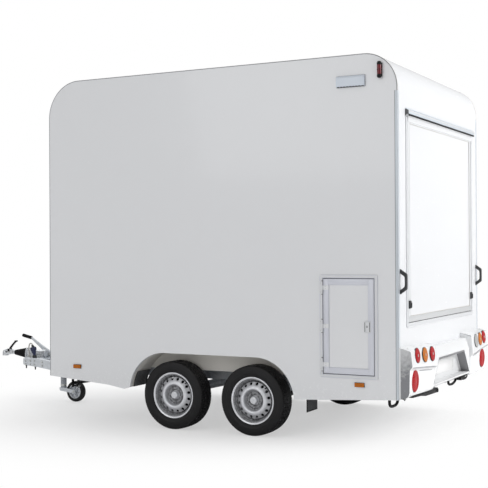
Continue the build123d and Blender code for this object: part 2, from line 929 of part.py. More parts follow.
def vent_cover():
    """A shallow hood over the vent high on the left wall."""
    x, half_x, half_z = rear_x + vent_from_rear, vent_length / 2, vent_height / 2
    hood = block(x - half_x, x + half_x, side_y, side_y + vent_depth, vent_z - half_z, vent_z + half_z)
    return chamfer(hood.edges().group_by(Axis.Y)[-1], vent_depth / 2)


def grab_handles():
    """Two moulded grab handles on the rear corners."""
    half, grip = grab_height / 2, grab_grip / 2
    outer = [(0, -half), (-grab_depth, -grip), (-grab_depth, grip), (0, half)]
    slope = (half - grip) / grab_depth
    inner_half = half - grab_bar * (1 + slope)
    inner_grip = inner_half - (grab_depth - grab_bar) * slope
    reach = grab_bar - grab_depth
    inner = [(0, -inner_half), (reach, -inner_grip), (reach, inner_grip), (0, inner_half)]
    bow = polygon(*outer) - polygon(*inner)
    y = side_y - grab_inset
    return both_sides(Pos(rear_x, 0, grab_z) * side_slab(bow, y - grab_width / 2, y + grab_width / 2))


def chassis_rails():
    """Two C-section rails along the floor, open towards the middle."""
    margin = wall + end_beam_inset + end_beam_width
    left, right = rear_x + margin, front_x - margin
    outer_y, inner_face_y = rail_y + rail_width / 2, rail_y - rail_width / 2
    rail = block(left, right, inner_face_y, outer_y, rail_z, floor_underside_z)
    low, high = rail_z + rail_sheet, floor_underside_z - rail_sheet
    rail -= block(left - overrun, right + overrun, inner_face_y - overrun, outer_y - rail_sheet, low, high)
    return both_sides(rail)


def cross_members():
    """Beams across the rails, an end beam at each end and outriggers beside the wheel arches."""
    rail_in, rail_out = rail_y - rail_width / 2, rail_y + rail_width / 2
    beams = []
    first = rear_x + wall + end_beam_inset
    last = front_x - wall - end_beam_inset
    for x_low, x_high in ((first, first + end_beam_width), (last - end_beam_width, last)):
        low_z = floor_underside_z - end_beam_height
        beams.append(block(x_low, x_high, -end_beam_half, end_beam_half, low_z, floor_underside_z))
    for x in (arch_rear_x, axle_middle_x, arch_front_x):
        half = cross_width / 2
        low_z = floor_underside_z - cross_height
        beams.append(block(x - half, x + half, -rail_in, rail_in, low_z, floor_underside_z))
    for x in (arch_rear_x - outrigger_run, arch_front_x + outrigger_run):
        half = cross_width / 2
        low_z = floor_underside_z - outrigger_height
        beams += both_sides(block(x - half, x + half, rail_out, inner_y, low_z, floor_underside_z)).solids()
    return Compound(beams)


def drawbar():
    """Two beams in a V that run from under the rails to the coupling, with two plates between."""
    top_z, low_z = rail_z, rail_z - drawbar_height
    rear = (front_x - drawbar_rear_run, drawbar_rear_y)
    front = (nose_x - drawbar_front_back, drawbar_front_y)
    run, lean = front[0] - rear[0], front[1] - rear[1]
    half = drawbar_width / 2 * hypot(run, lean) / run
    outline = polygon(
        (rear[0], rear[1] - half),
        (front[0], front[1] - half),
        (front[0], front[1] + half),
        (rear[0], rear[1] + half),
    )
    beam = Pos(0, 0, low_z) * extrude(Plane.XY * outline, top_z - low_z)
    shape = beam + mirrored(beam)
    slope = lean / run
    for x in drawbar_plates():
        inner = front[1] + (x - front[0]) * slope - half
        width = inner + half
        shape += block(x, x + drawbar_plate, -width, width, low_z + drawbar_plate_lap, top_z)
    return shape


def brake_rod():
    """The rod that works the brakes, under the cross plates, and its equaliser bar at the axle."""
    y, z, radius = brake_lever_y, brake_rod_z, brake_rod_radius
    beam_x = axle_xs["front"] + beam_ahead
    rear = beam_x + equaliser_ahead
    shape = rod((rear, y, z), (drawbar_plates()[0] + drawbar_plate, y, z), radius)
    half_x, low_y, high_y = equaliser_depth / 2, y - equaliser_half, y + equaliser_half
    shape += block(rear - half_x, rear + half_x, low_y, high_y, z - radius, z + radius)
    for end_y in (low_y + radius, high_y - radius):
        shape += rod((beam_x, end_y, z), (rear, end_y, z), radius)
        shape += block(beam_x - radius, beam_x + radius, end_y - radius, end_y + radius, beam_z, z)
    plate_low_z = rail_z - drawbar_height + drawbar_plate_lap
    for x in drawbar_plates():
        shape += block(x, x + drawbar_plate, y - brake_hanger, y + brake_hanger, z, plate_low_z)
    return shape - axle_beam(axle_xs["front"])


def drawbar_plates():
    """The X of the two plates across the drawbar."""
    return nose_x - drawbar_front_back - housing_length, jockey_plate_x


def tow_lead():
    """The lighting lead from the plug in an arch down into the drawbar's front end."""
    start, lean = Vector(*plug_end()), radians(plug_tilt)
    rise = start + Vector(sin(lean), 0, cos(lean)) * lead_rise
    over = (rise.X + lead_run, drawbar_y(rise.X + lead_run), rise.Z)
    down = (over[0], over[1], rail_z)
    path = FilletPolyline(start, rise, over, down, radius=lead_bend)
    return sweep(Plane(origin=path @ 0, z_dir=path % 0) * Circle(lead_radius), path)


def overrun_housing():
    """The housing of the overrun device, on side plates that straddle the drawbar's front end."""
    front = nose_x - clamp_back - clamp_length - bellows_length
    rear = front - housing_length
    body = rod((rear, 0, coupling_axis_z), (front, 0, coupling_axis_z), housing_radius)
    flange_rear = front - housing_flange
    body += rod((flange_rear, 0, coupling_axis_z), (front, 0, coupling_axis_z), housing_flange_radius)
    body += block(rear, flange_rear, -housing_radius, housing_radius, rail_z, coupling_axis_z)
    return body


def coupling_head():
    """The ball socket with its neck, its clamp on the draw tube and the tube itself."""
    z = coupling_axis_z
    bore = ball_diameter / 2 + ball_clearance
    outer = bore + socket_wall
    x = nose_x - outer
    shape = Pos(x, 0, z - socket_depth) * extrude(Plane.XY * Circle(outer), socket_depth)
    shape += Pos(x, 0, z) * Sphere(outer)
    neck_low, neck_high = z - socket_depth, z - socket_depth + socket_neck_height
    clamp_front, clamp_rear = nose_x - clamp_back, nose_x - clamp_back - clamp_length
    shape += block(clamp_front, x, -socket_neck_half, socket_neck_half, neck_low, neck_high)
    shape += rod((clamp_rear, 0, z), (clamp_front, 0, z), clamp_radius)
    shape -= Pos(x, 0, z - outer - overrun) * extrude(Plane.XY * Circle(bore), outer + overrun)
    shape -= Pos(x, 0, z) * Sphere(bore)
    below = z - socket_depth
    shape -= block(x - outer, nose_x, -outer, outer, below - outer, below)
    tube_rear = clamp_rear - bellows_length
    return shape + rod((tube_rear, 0, z), (clamp_rear, 0, z), draw_tube_radius)


def bellows():
    """The pleated boot over the draw tube."""
    rear = nose_x - clamp_back - clamp_length - bellows_length
    bore = draw_tube_radius + bellows_bore_gap
    step = bellows_length / bellows_folds
    outline = []
    for i in range(bellows_folds + 1):
        share = i / bellows_folds
        ridge = bellows_rear_radius + (bellows_front_radius - bellows_rear_radius) * share
        outline.append((i * step, ridge))
        if i < bellows_folds:
            outline.append(((i + 1 / 2) * step, ridge - bellows_fold_depth))
    face = polygon((0, bore), *outline, (bellows_length, bore))
    return Pos(rear, 0, coupling_axis_z) * revolve(Plane.XY * face, Axis.X)


def tow_lever():
    """The handle that lifts to free the coupling from the ball."""
    x, z = nose_x - clamp_back - tow_lever_root, coupling_axis_z + clamp_radius - tow_lever_root
    half = tow_lever_height / 2
    bar = polygon((0, -half), (tow_lever_length, -half), (tow_lever_length, half), (0, half))
    bar = Pos(x, z) * Rot(0, 0, tow_lever_angle) * bar
    return side_slab(bar, -tow_lever_width / 2, tow_lever_width / 2) - coupling_head()


def brake_lever():
    """The handbrake lever beside the overrun housing, without its grip."""
    pivot = (nose_x - brake_pivot_back, brake_pivot_z)
    elbow = (nose_x - brake_elbow_back, brake_elbow_z)
    lever = bar_outline(pivot, elbow, brake_lever_height)
    lever = side_slab(lever, brake_lever_y - brake_lever_width / 2, brake_lever_y + brake_lever_width / 2)
    foot = block(
        pivot[0] - brake_lever_height,
        pivot[0] + 2 * brake_lever_height,
        brake_lever_y - brake_lever_width / 2,
        brake_lever_y + brake_lever_width / 2,
        rail_z,
        pivot[1],
    )
    return lever + foot


def brake_grip():
    """The grip at the bend of the handbrake lever."""
    elbow = (nose_x - brake_elbow_back, brake_lever_y, brake_elbow_z)
    tip = (nose_x - brake_tip_back, brake_lever_y, brake_tip_z)
    return rod(elbow, tip, brake_grip_radius) - brake_lever()


def bar_outline(start, end, height):
    """A flat bar between two points, drawn as (X, Z)."""
    run, rise = end[0] - start[0], end[1] - start[1]
    length = hypot(run, rise)
    half = height / 2
    bar = polygon((0, -half), (length, -half), (length, half), (0, half))
    return Pos(*start) * Rot(0, 0, degrees(atan2(rise, run))) * bar


def jockey_clamp():
    """The split clamp on the drawbar's cross plate that the jockey wheel slides in."""
    bore = jockey_tube_radius + jockey_tube_clearance
    ring = Circle(bore + jockey_clamp_wall) - Circle(bore)
    height = drawbar_height - drawbar_plate_lap
    pad = block(jockey_x, jockey_plate_x, jockey_y - bore, jockey_y + bore, rail_z - height, rail_z)
    clamp = pad + Pos(jockey_x, jockey_y, rail_z - height) * extrude(Plane.XY * ring, height)
    return clamp - rod((jockey_x, jockey_y, rail_z - drawbar_height), (jockey_x, jockey_y, rail_z), bore)


def jockey_leg():
    """The jockey wheel's tube with its screw cap and crank."""
    x, y = jockey_x, jockey_y
    low_z, high_z = jockey_fork_top_z + jockey_head_height, jockey_tube_high_z
    leg = rod((x, y, low_z), (x, y, high_z), jockey_tube_radius)
    cap_z = high_z + jockey_cap_height
    arm_z = cap_z + jockey_crank_rise
    leg += rod((x, y, high_z), (x, y, cap_z), jockey_tube_radius + jockey_tube_wall)
    leg += rod((x, y, cap_z), (x, y, arm_z), jockey_crank_radius)
    arm_y, half = y + jockey_crank_reach, jockey_crank_radius
    leg += block(x - half, x + half, y - half, arm_y + half, arm_z, arm_z + half)
    leg += rod((x, arm_y, arm_z + half), (x, arm_y, arm_z + jockey_knob_length), jockey_knob_radius)
    return leg


def jockey_fork():
    """The swivelling fork with the bolt that the jockey wheel turns on."""
    x, y = jockey_x, jockey_y
    axle_x, axle_z = x - jockey_trail, jockey_wheel_diameter / 2
    top_z, low_z = jockey_fork_top_z, jockey_fork_low_z
    inner = jockey_wheel_width / 2 + jockey_fork_gap
    outer = inner + jockey_fork_sheet
    head_x = x + jockey_tube_radius
    fork = rod((x, y, top_z), (x, y, top_z + jockey_head_height), jockey_tube_radius)
    fork += block(x - jockey_tube_radius, head_x, y - outer, y + outer, top_z, top_z + jockey_head_height)
    front = x - jockey_tube_radius
    eye = jockey_fork_eye
    side = polygon(
        (axle_x, axle_z - eye),
        (front, low_z),
        (head_x, low_z),
        (head_x, top_z),
        (front, top_z),
        (axle_x, axle_z + eye),
    )
    side += Pos(axle_x, axle_z) * Circle(eye)
    for low_y in (y - outer, y + inner):
        fork += side_slab(side, low_y, low_y + jockey_fork_sheet)
    return fork + rod((axle_x, y - outer, axle_z), (axle_x, y + outer, axle_z), jockey_axle_radius)


def jockey_tyre():
    """The solid tyre of the jockey wheel."""
    half = jockey_wheel_width / 2
    radius = jockey_wheel_diameter / 2
    corner = (radius - jockey_rim_radius) / 3
    face = polygon((-half, jockey_rim_radius), (half, jockey_rim_radius), (half, radius), (-half, radius))
    face = fillet([v for v in face.vertices() if v.Y > jockey_rim_radius + corner], corner)
    return at_jockey_axle(revolve(Plane.YZ * face, Axis.Y))


def jockey_rim():
    """The jockey wheel's rim: a web and hub inside a lip."""
    half = jockey_wheel_width / 2
    bore = jockey_axle_radius + jockey_axle_clearance
    web, lip = jockey_rim_web / 2, jockey_rim_radius - jockey_rim_lip
    face = polygon(
        (-half, bore),
        (half, bore),
        (half, jockey_hub_radius),
        (web, jockey_hub_radius),
        (web, lip),
        (half, lip),
        (half, jockey_rim_radius),
        (-half, jockey_rim_radius),
        (-half, lip),
        (-web, lip),
        (-web, jockey_hub_radius),
        (-half, jockey_hub_radius),
    )
    return at_jockey_axle(revolve(Plane.YZ * face, Axis.Y))


def at_jockey_axle(shape):
    """Carries a wheel drawn about the Y axis to the jockey wheel's axle."""
    return Pos(jockey_x - jockey_trail, jockey_y, jockey_wheel_diameter / 2) * shape


def steady(length):
    """A folded steady: its pin is on the X axis and its foot towards -Y."""
    half_x, half_z = steady_width / 2, steady_height / 2
    leg = block(-half_x, half_x, -length, -steady_eye_radius, -half_z, half_z)
    inner = half_x - steady_sheet
    inner_end = -2 * steady_eye_radius
    leg -= block(-inner, inner, -length - overrun, inner_end, steady_sheet - half_z, half_z + overrun)
    eye = Circle(steady_eye_radius) - Circle(steady_pin_radius + steady_pin_clearance)
    eye += polygon((0, -half_z), (inner_end, -half_z), (inner_end, half_z), (0, half_z))
    eye -= Circle(steady_pin_radius + steady_pin_clearance)
    leg += cross_slab(eye, -half_x, half_x)
    foot_half = steady_foot_width / 2
    foot_low = -length - steady_foot_sheet
    leg += block(-foot_half, foot_half, foot_low, -length, -half_z, steady_foot_length - half_z)
    return leg


def steady_bracket(z):
    """Two cheeks and a pin that hold a steady at height z under an end beam."""
    inner = steady_width / 2 + steady_cheek_gap
    outer = inner + steady_cheek
    top_z = floor_underside_z - end_beam_height - z
    radius = steady_eye_radius
    cheek = Circle(radius) + polygon((-radius, 0), (radius, 0), (radius, top_z), (-radius, top_z))
    bracket = cross_slab(cheek, -outer, -inner) + cross_slab(cheek, inner, outer)
    bracket += rod((-outer, 0, 0), (outer, 0, 0), steady_pin_radius)
    return bracket


def steady_places():
    """Where the left steadies' pins are, and how long the steadies are."""
    inset = wall + end_beam_inset + end_beam_width / 2
    front_z = rail_z - drawbar_height - front_steady_gap - steady_height / 2
    rear_steady = (rear_x + inset, steady_y, rear_steady_z, rear_steady_length)
    front_steady = (front_x - inset, steady_y, front_z, front_steady_length)
    return {"rear": rear_steady, "front": front_steady}


def mud_flaps():
    """A flap behind each pair of wheels, hung from an outrigger."""
    x, outer_y = arch_rear_x - outrigger_run - flap_thickness / 2, side_y - flap_outer_gap
    top_z = floor_underside_z - outrigger_height
    flap = block(x, x + flap_thickness, outer_y - flap_width, outer_y, flap_low_z, top_z)
    return both_sides(flap)


def trailer_plug():
    """The plug of the lighting lead in its holder on the left beam of the drawbar."""
    start, half = plug_start(), plug_radius / 2
    x, y, z = start
    holder = block(x - half, x + half, y - half, y + half, rail_z, z + half)
    return rod(start, plug_end(), plug_radius) + holder


def plug_start():
    """The lower end of the plug's axis."""
    x = nose_x - plug_back
    return x, drawbar_y(x), rail_z + plug_lift


def plug_end():
    """The upper end of the plug's axis."""
    x, y, z = plug_start()
    lean = radians(plug_tilt)
    return x + plug_length * sin(lean), y, z + plug_length * cos(lean)


def drawbar_y(x):
    """The middle of the drawbar's left beam at X."""
    rear_end, front_end = front_x - drawbar_rear_run, nose_x - drawbar_front_back
    share = (x - rear_end) / (front_end - rear_end)
    return drawbar_rear_y + (drawbar_front_y - drawbar_rear_y) * share


def main():
    """Writes each piece to its own STEP file."""
    os.makedirs("parts", exist_ok=True)
    for name, shape in make_pieces().items():
        export_step(shape, os.path.join("parts", name + ".step"))


def make_pieces():
    """Every piece by its node name."""
    pieces = {}
    pieces.update(body_pieces())
    pieces.update(rear_pieces())
    pieces.update(chassis_pieces())
    pieces.update(coupling_pieces())
    pieces.update(jockey_pieces())
    pieces.update(steady_pieces())
    pieces.update(wheel_pieces())
    return pieces


def body_pieces():
    left, right = side_wall(), mirrored(side_wall())
    service = (service_door_width, service_door_low_z, service_door_high_z)
    entry = (entry_door_width, entry_door_low_z, entry_door_high_z)
    left -= at_service_door(door_opening(*service))
    right -= at_serving_side(hatch_opening(serving_hatch_width))
    rear_frame, rear_rail = at_rear(hatch_frame(rear_hatch_width)), at_rear(hatch_rail(rear_hatch_width))
    serving_frame = at_serving_side(hatch_frame(serving_hatch_width))
    serving_rail = at_serving_side(hatch_rail(serving_hatch_width))
    service_frame, entry_frame = at_service_door(door_frame(*service)), at_front_door(door_frame(*entry))
    return {
        "side_wall_left": left,
        "side_wall_right": right,
        "roof_shell": roof_shell(),
        "front_wall": front_wall(),
        "rear_wall": rear_wall(),
        "floor_panel": floor_panel(),
        "wheel_housings": both_sides(wheel_housing()),
        "hatch_frames": Compound([*rear_frame.solids(), *serving_frame.solids()]),
        "hatch_rails": Compound([*rear_rail.solids(), *serving_rail.solids()]),
        "door_frames": Compound([*service_frame.solids(), *entry_frame.solids()]),
        "rear_hatch": at_rear(hatch_flap(rear_hatch_width)),
        "rear_hatch_latches": at_rear(hatch_latches(rear_hatch_width)),
        "serving_hatch": at_serving_side(hatch_flap(serving_hatch_width)),
        "serving_hatch_latches": at_serving_side(hatch_latches(serving_hatch_width)),
        "service_door": at_service_door(door_leaf(*service)),
        "service_door_lock": at_service_door(door_lock(*service)),
        "entry_door": at_front_door(door_leaf(*entry)),
        "entry_door_handle": at_front_door(door_handle(*entry)),
    }


def rear_pieces():
    amber, clear = lamp_first_y - lamp_pitch, lamp_first_y - 2 * lamp_pitch
    reds = [round_lamp(y) for y in (lamp_first_y, clear, -lamp_first_y)]
    return {
        "rear_bumper": rear_bumper(),
        "number_plate": number_plate(),
        "lamps_red": Compound([*reds, *reflectors().solids()]),
        "lamps_amber": Compound([round_lamp(amber), round_lamp(-amber)]),
        "lamp_clear": round_lamp(-clear),
        "side_markers": side_markers(),
        "outline_lamps": outline_lamps(),
        "vent_cover": vent_cover(),
        "grab_handles": grab_handles(),
        "mud_flaps": mud_flaps(),
    }


def chassis_pieces():
    return {
        "chassis_rails": chassis_rails(),
        "cross_members": cross_members(),
        "drawbar": drawbar(),
    }


def coupling_pieces():
    return {
        "overrun_housing": overrun_housing(),
        "bellows": bellows(),
        "coupling_head": coupling_head(),
        "tow_lever": tow_lever(),
        "brake_lever": brake_lever(),
        "brake_grip": brake_grip(),
        "trailer_plug": trailer_plug(),
        "tow_lead": tow_lead(),
        "brake_rod": brake_rod(),
    }


def jockey_pieces():
    return {
        "jockey_clamp": jockey_clamp(),
        "jockey_leg": jockey_leg(),
        "jockey_fork": jockey_fork(),
        "jockey_tyre": jockey_tyre(),
        "jockey_rim": jockey_rim(),
    }


def steady_pieces():
    pieces, brackets = {}, []
    for end, (x, y, z, length) in steady_places().items():
        place = Pos(x, y, z)
        pieces[f"steady_{end}_left"] = place * steady(length)
        pieces[f"steady_{end}_right"] = mirrored(place * steady(length))
        brackets += both_sides(place * steady_bracket(z)).solids()
    pieces["steady_brackets"] = Compound(brackets)
    return pieces


def wheel_pieces():
    pieces = {}
    one_tyre, one_rim = tyre(), rim()
    for end, x in axle_xs.items():
        place = Pos(x, wheel_y, tyre_radius)
        pieces[f"tyre_{end}_left"] = place * one_tyre
        pieces[f"rim_{end}_left"] = place * one_rim
        pieces[f"tyre_{end}_right"] = mirrored(place * one_tyre)
        pieces[f"rim_{end}_right"] = mirrored(place * one_rim)
    arms = [arm for x in axle_xs.values() for arm in both_sides(swing_arm(x)).solids()]
    pieces["swing_arms"] = Compound(arms)
    pieces["axle_beams"] = Compound([beam for x in axle_xs.values() for beam in axle_beam(x).solids()])
    return pieces


if __name__ == "__main__":
    main()
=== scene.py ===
import json
import math

import bmesh
import bpy
from mathutils import Matrix, Vector


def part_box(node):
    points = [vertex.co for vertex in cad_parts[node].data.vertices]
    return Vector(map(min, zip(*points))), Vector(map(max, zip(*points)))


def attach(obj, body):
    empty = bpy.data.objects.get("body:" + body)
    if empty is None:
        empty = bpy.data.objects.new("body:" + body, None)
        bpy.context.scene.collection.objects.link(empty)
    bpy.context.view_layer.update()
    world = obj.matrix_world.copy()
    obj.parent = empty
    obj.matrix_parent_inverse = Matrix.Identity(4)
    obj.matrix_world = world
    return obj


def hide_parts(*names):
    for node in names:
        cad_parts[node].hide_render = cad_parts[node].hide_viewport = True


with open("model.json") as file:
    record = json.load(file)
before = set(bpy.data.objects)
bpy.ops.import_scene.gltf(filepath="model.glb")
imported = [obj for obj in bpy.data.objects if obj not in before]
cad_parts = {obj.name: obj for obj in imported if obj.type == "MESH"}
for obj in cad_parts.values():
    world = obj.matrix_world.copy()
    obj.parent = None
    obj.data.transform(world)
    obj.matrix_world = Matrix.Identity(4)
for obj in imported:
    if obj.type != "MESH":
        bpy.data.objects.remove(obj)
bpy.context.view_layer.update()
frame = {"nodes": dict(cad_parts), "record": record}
nodes = frame["nodes"]
up = Vector((0, 0, 1))
sides = (("left", 1), ("right", -1))


# helpers that every piece uses
def box(name):
    low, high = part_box(name)
    return Vector(low), Vector(high)


def middle(name):
    low, high = box(name)
    return (low + high) / 2


def roundEdges(bm, edges, width, segments=2):
    bmesh.ops.bevel(bm, geom=list(edges), offset=width, affect="EDGES", segments=segments, profile=0.5,
                    material=-1)


def addBox(bm, corner, opposite, bevel=0.0, segments=2):
    low, high = (Vector(ends) for ends in zip(*(sorted(pair) for pair in zip(corner, opposite))))
    made = bmesh.ops.create_cube(bm, size=1.0)["verts"]
    bmesh.ops.scale(bm, vec=high - low, verts=made)
    bmesh.ops.translate(bm, vec=(low + high) / 2, verts=made)
    if bevel:
        edges = {e for v in made for e in v.link_edges}
        roundEdges(bm, edges, bevel, segments)
    return made


def addRod(bm, start, end, radius, endRadius=None, steps=24, bevel=0.0):
    start, end = Vector(start), Vector(end)
    run = end - start
    turn = up.rotation_difference(run.normalized()).to_matrix().to_4x4()
    place = Matrix.Translation((start + end) / 2) @ turn
    made = bmesh.ops.create_cone(bm, cap_ends=True, segments=steps, radius1=radius,
                                 radius2=radius if endRadius is None else endRadius,
                                 depth=run.length, matrix=place)["verts"]
    if bevel:
        caps = [e for e in {e for v in made for e in v.link_edges}
                if any(len(f.verts) > 4 for f in e.link_faces)]
        roundEdges(bm, caps, bevel)
    return made


def addSpin(bm, profile, center, axis, steps=64):  # profile is a list of (along, radius)
    axis = Vector(axis).normalized()
    side = axis.orthogonal().normalized()
    center = Vector(center)
    ring = [bm.verts.new(center + axis * along + side * radius) for along, radius in profile]
    edges = [bm.edges.new(pair) for pair in zip(ring, ring[1:])]
    bmesh.ops.spin(bm, geom=ring + edges, cent=center, axis=axis, angle=math.tau, steps=steps,
                   use_merge=True)
    return ring


def addHex(bm, center, axis, across, height):
    axis = Vector(axis).normalized()
    center = Vector(center)
    addRod(bm, center, center + axis * height, across / math.sqrt(3), steps=6, bevel=height * 0.12)


def addPiece(name, bm, finish, body="trailer", angle=35, merge=1e-5, replaced=None):
    bmesh.ops.remove_doubles(bm, verts=bm.verts[:], dist=merge)
    bmesh.ops.recalc_face_normals(bm, faces=bm.faces[:])
    mesh = bpy.data.meshes.new(name)
    bm.to_mesh(mesh)
    bm.free()
    for face in mesh.polygons:
        face.use_smooth = True
    mesh.set_sharp_from_angle(angle=math.radians(angle))
    piece = bpy.data.objects.new(name, mesh)
    piece.data.materials.append(materials[finish])
    bpy.context.scene.collection.objects.link(piece)
    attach(piece, body)
    if replaced:
        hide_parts(replaced)


def soften(points, share=0.3, steps=3):  # every inner corner of the line becomes a short curve
    line = [Vector(p) for p in points]
    made = [line[0]]
    for before, corner, after in zip(line, line[1:], line[2:]):
        start, end = corner.lerp(before, share), corner.lerp(after, share)
        for i in range(steps + 1):
            t = i / steps
            made.append(start * (1 - t) ** 2 + corner * 2 * t * (1 - t) + end * t ** 2)
    return [tuple(p) for p in made + [line[-1]]]


def standOn(center, axis):  # a matrix that stands a piece drawn along +Z on an axis
    turn = up.rotation_difference(Vector(axis).normalized()).to_matrix().to_4x4()
    return Matrix.Translation(center) @ turn


def turned(bm, place):
    bmesh.ops.transform(bm, matrix=place, verts=bm.verts[:])
    return bm


def copied(bm):
    other = bmesh.new()
    mesh = bpy.data.meshes.new("spare")
    bm.to_mesh(mesh)
    other.from_mesh(mesh)
    bpy.data.meshes.remove(mesh)
    return other


def rounded(points, radius, steps=3, closed=True):  # corners cut to curves of about one radius
    line = [Vector(p) for p in points]
    made = [] if closed else [line[0]]
    count = len(line)
    for i in range(count) if closed else range(1, count - 1):
        before, corner, after = line[i - 1], line[i], line[(i + 1) % count]
        start = corner.lerp(before, min(0.45, radius / max((before - corner).length, 1e-6)))
        end = corner.lerp(after, min(0.45, radius / max((after - corner).length, 1e-6)))
        for k in range(steps + 1):
            t = k / steps
            made.append(start * (1 - t) ** 2 + corner * 2 * t * (1 - t) + end * t ** 2)
    return made if closed else made + [line[-1]]


def addLoft(bm, rings):
    loops = []
    for ring in rings:
        verts = [bm.verts.new(p) for p in ring]
        loops.append([bm.edges.new(pair) for pair in zip(verts, verts[1:] + verts[:1])])
    for pair in zip(loops, loops[1:]):
        bmesh.ops.bridge_loops(bm, edges=pair[0] + pair[1])
    for loop in (loops[0], loops[-1]):
        bmesh.ops.contextual_create(bm, geom=loop)


def along(table, at):  # straight lines between the (place, value) rows of a table
    for (low, first), (high, second) in zip(table, table[1:]):
        if at <= high:
            return first + (second - first) * (max(at, low) - low) / (high - low)
    return table[-1][1]


def addSweep(bm, path, section, across):  # a section of (across, third) points drawn along a path
    path = [Vector(p) for p in path]
    across = Vector(across)
    places = []
    for i, point in enumerate(path):
        ahead = (path[min(i + 1, len(path) - 1)] - path[max(i - 1, 0)]).normalized()
        third = ahead.cross(across).normalized()
        places.append(Matrix.Translation(point) @ Matrix((third.cross(ahead), third,
                                                          ahead)).transposed().to_4x4())
    ring = [bm.verts.new(places[0] @ Vector((a, b, 0))) for a, b in section]
    edges = [bm.edges.new(pair) for pair in zip(ring, ring[1:] + ring[:1])]
    bmesh.ops.contextual_create(bm, geom=edges)
    for old, new in zip(places, places[1:]):
        made = bmesh.ops.extrude_edge_only(bm, edges=edges)["geom"]
        verts = {v for v in made if isinstance(v, bmesh.types.BMVert)}
        edges = [e for e in made if isinstance(e, bmesh.types.BMEdge) and all(v in verts for v in e.verts)]
        bmesh.ops.transform(bm, matrix=new @ old.inverted(), verts=list(verts))
    bmesh.ops.contextual_create(bm, geom=edges)


def circle(radius, count=12):
    return [(radius * math.cos(math.tau * i / count), radius * math.sin(math.tau * i / count))
            for i in range(count)]


def addTube(bm, points, radius, share=0.35, steps=5, count=12, across=(0.01, 0.02, 1)):
    addSweep(bm, soften(points, share, steps), circle(radius, count), across)


def addSlab(bm, points, push, bevel=0.0):  # a closed line of points made solid along push
    face = bm.faces.new([bm.verts.new(p) for p in points])
    made = bmesh.ops.extrude_face_region(bm, geom=[face])["geom"]
    verts = [v for v in made if isinstance(v, bmesh.types.BMVert)]
    bmesh.ops.translate(bm, vec=push, verts=verts)
    if bevel:
        edges = {e for v in list(face.verts) + verts for e in v.link_edges}
        roundEdges(bm, edges, bevel)


def arc(center, radius, start, end, steps):  # points in the XZ plane, angles in degrees
    turns = [math.radians(start + (end - start) * i / steps) for i in range(steps + 1)]
    return [(center[0] + radius * math.cos(a), center[1] + radius * math.sin(a)) for a in turns]


def mirrored(points):  # the points and their mirror images in the second coordinate, as one line
    return points + [(first, -second) for first, second in reversed(points)]


# shared effects, each a node group
color, number = "NodeSocketColor", "NodeSocketFloat"
results = ("Color", "Roughness", "Height")


def addGroup(name, inputs):
    group = bpy.data.node_groups.new(name, "ShaderNodeTree")
    for label, kind, value in inputs:
        socket = group.interface.new_socket(name=label, in_out="INPUT", socket_type=kind)
        socket.default_value = value
    for label, kind in zip(results, (color, number, number)):
        group.interface.new_socket(name=label, in_out="OUTPUT", socket_type=kind)
    return group, group.nodes.new("NodeGroupInput").outputs, group.nodes.new("NodeGroupOutput").inputs


def addNode(tree, kind, inputs=None, **values):
    node = tree.nodes.new(kind)
    for key, value in values.items():
        setattr(node, key, value)
    for key, value in (inputs or {}).items():
        if isinstance(value, bpy.types.NodeSocket):
            tree.links.new(value, node.inputs[key])
        else:
            node.inputs[key].default_value = value
    return node


def mathNode(tree, operation, first, second=0.0, clamp=False):
    return addNode(tree, "ShaderNodeMath", {0: first, 1: second}, operation=operation,
                   use_clamp=clamp).outputs[0]


def mixColor(tree, factor, first, second):
    return addNode(tree, "ShaderNodeMix", {0: factor, 6: first, 7: second}, data_type="RGBA").outputs[2]


def addNoise(tree, place, scale, detail, roughness=0.5):
    return addNode(tree, "ShaderNodeTexNoise", {"Vector": place, "Scale": scale, "Detail": detail,
                                                "Roughness": roughness}).outputs


# the group's colour, lighter or darker as a value is above or below 0.5
def shaded(tree, given, value, strength):
    shade = mathNode(tree, "SUBTRACT", value, 0.5)
    shade = mathNode(tree, "MULTIPLY", shade, given[strength])
    shade = mathNode(tree, "ADD", 1.0, shade)
    return addNode(tree, "ShaderNodeVectorMath", {0: given["Color"], "Scale": shade},
                   operation="SCALE").outputs[0]


def endGroup(tree, out, *values):
    for label, value in zip(results, values):
        tree.links.new(value, out[label])
    return tree


def buildFilm():  # dirt near the ground, faint patches and a fine skin for lacquer and gelcoat; turned up to full on the moulding ends, the same term paints shade, darker towards the bottom
    tree, given, out = addGroup("surfaceFilm", [
        ("Color", color, (0.8, 0.8, 0.8, 1)), ("Dirt Color", color, (0.3, 0.27, 0.22, 1)),
        ("Dirt And Shade", number, 0.2), ("Dirt Height", number, 0.6), ("Patches", number, 0.03),
        ("Skin Scale", number, 400.0)])
    place = addNode(tree, "ShaderNodeTexCoord").outputs["Object"]
    big = addNoise(tree, place, 2.3, 6.0, 0.6)["Fac"]
    fine = addNoise(tree, place, 38.0, 5.0, 0.7)["Fac"]
    skin = addNoise(tree, place, given["Skin Scale"], 2.0)["Fac"]
    height = addNode(tree, "ShaderNodeSeparateXYZ", {"Vector": place}).outputs["Z"]
    low = mathNode(tree, "DIVIDE", height, given["Dirt Height"])
    low = mathNode(tree, "SUBTRACT", 1.0, low, clamp=True)
    low = mathNode(tree, "POWER", low, 2.2)
    spread = mathNode(tree, "MULTIPLY", big, fine)
    spread = mathNode(tree, "MULTIPLY", spread, 3.2)
    dirtAndShade = mathNode(tree, "MULTIPLY", low, spread)
    dirtAndShade = mathNode(tree, "MULTIPLY", dirtAndShade, given["Dirt And Shade"], clamp=True)
    tone = shaded(tree, given, big, "Patches")
    mixed = mixColor(tree, dirtAndShade, tone, given["Dirt Color"])
    rough = mathNode(tree, "MULTIPLY", dirtAndShade, 0.5)
    rough = mathNode(tree, "ADD", rough, mathNode(tree, "MULTIPLY", fine, 0.08))
    return endGroup(tree, out, mixed, rough, skin)


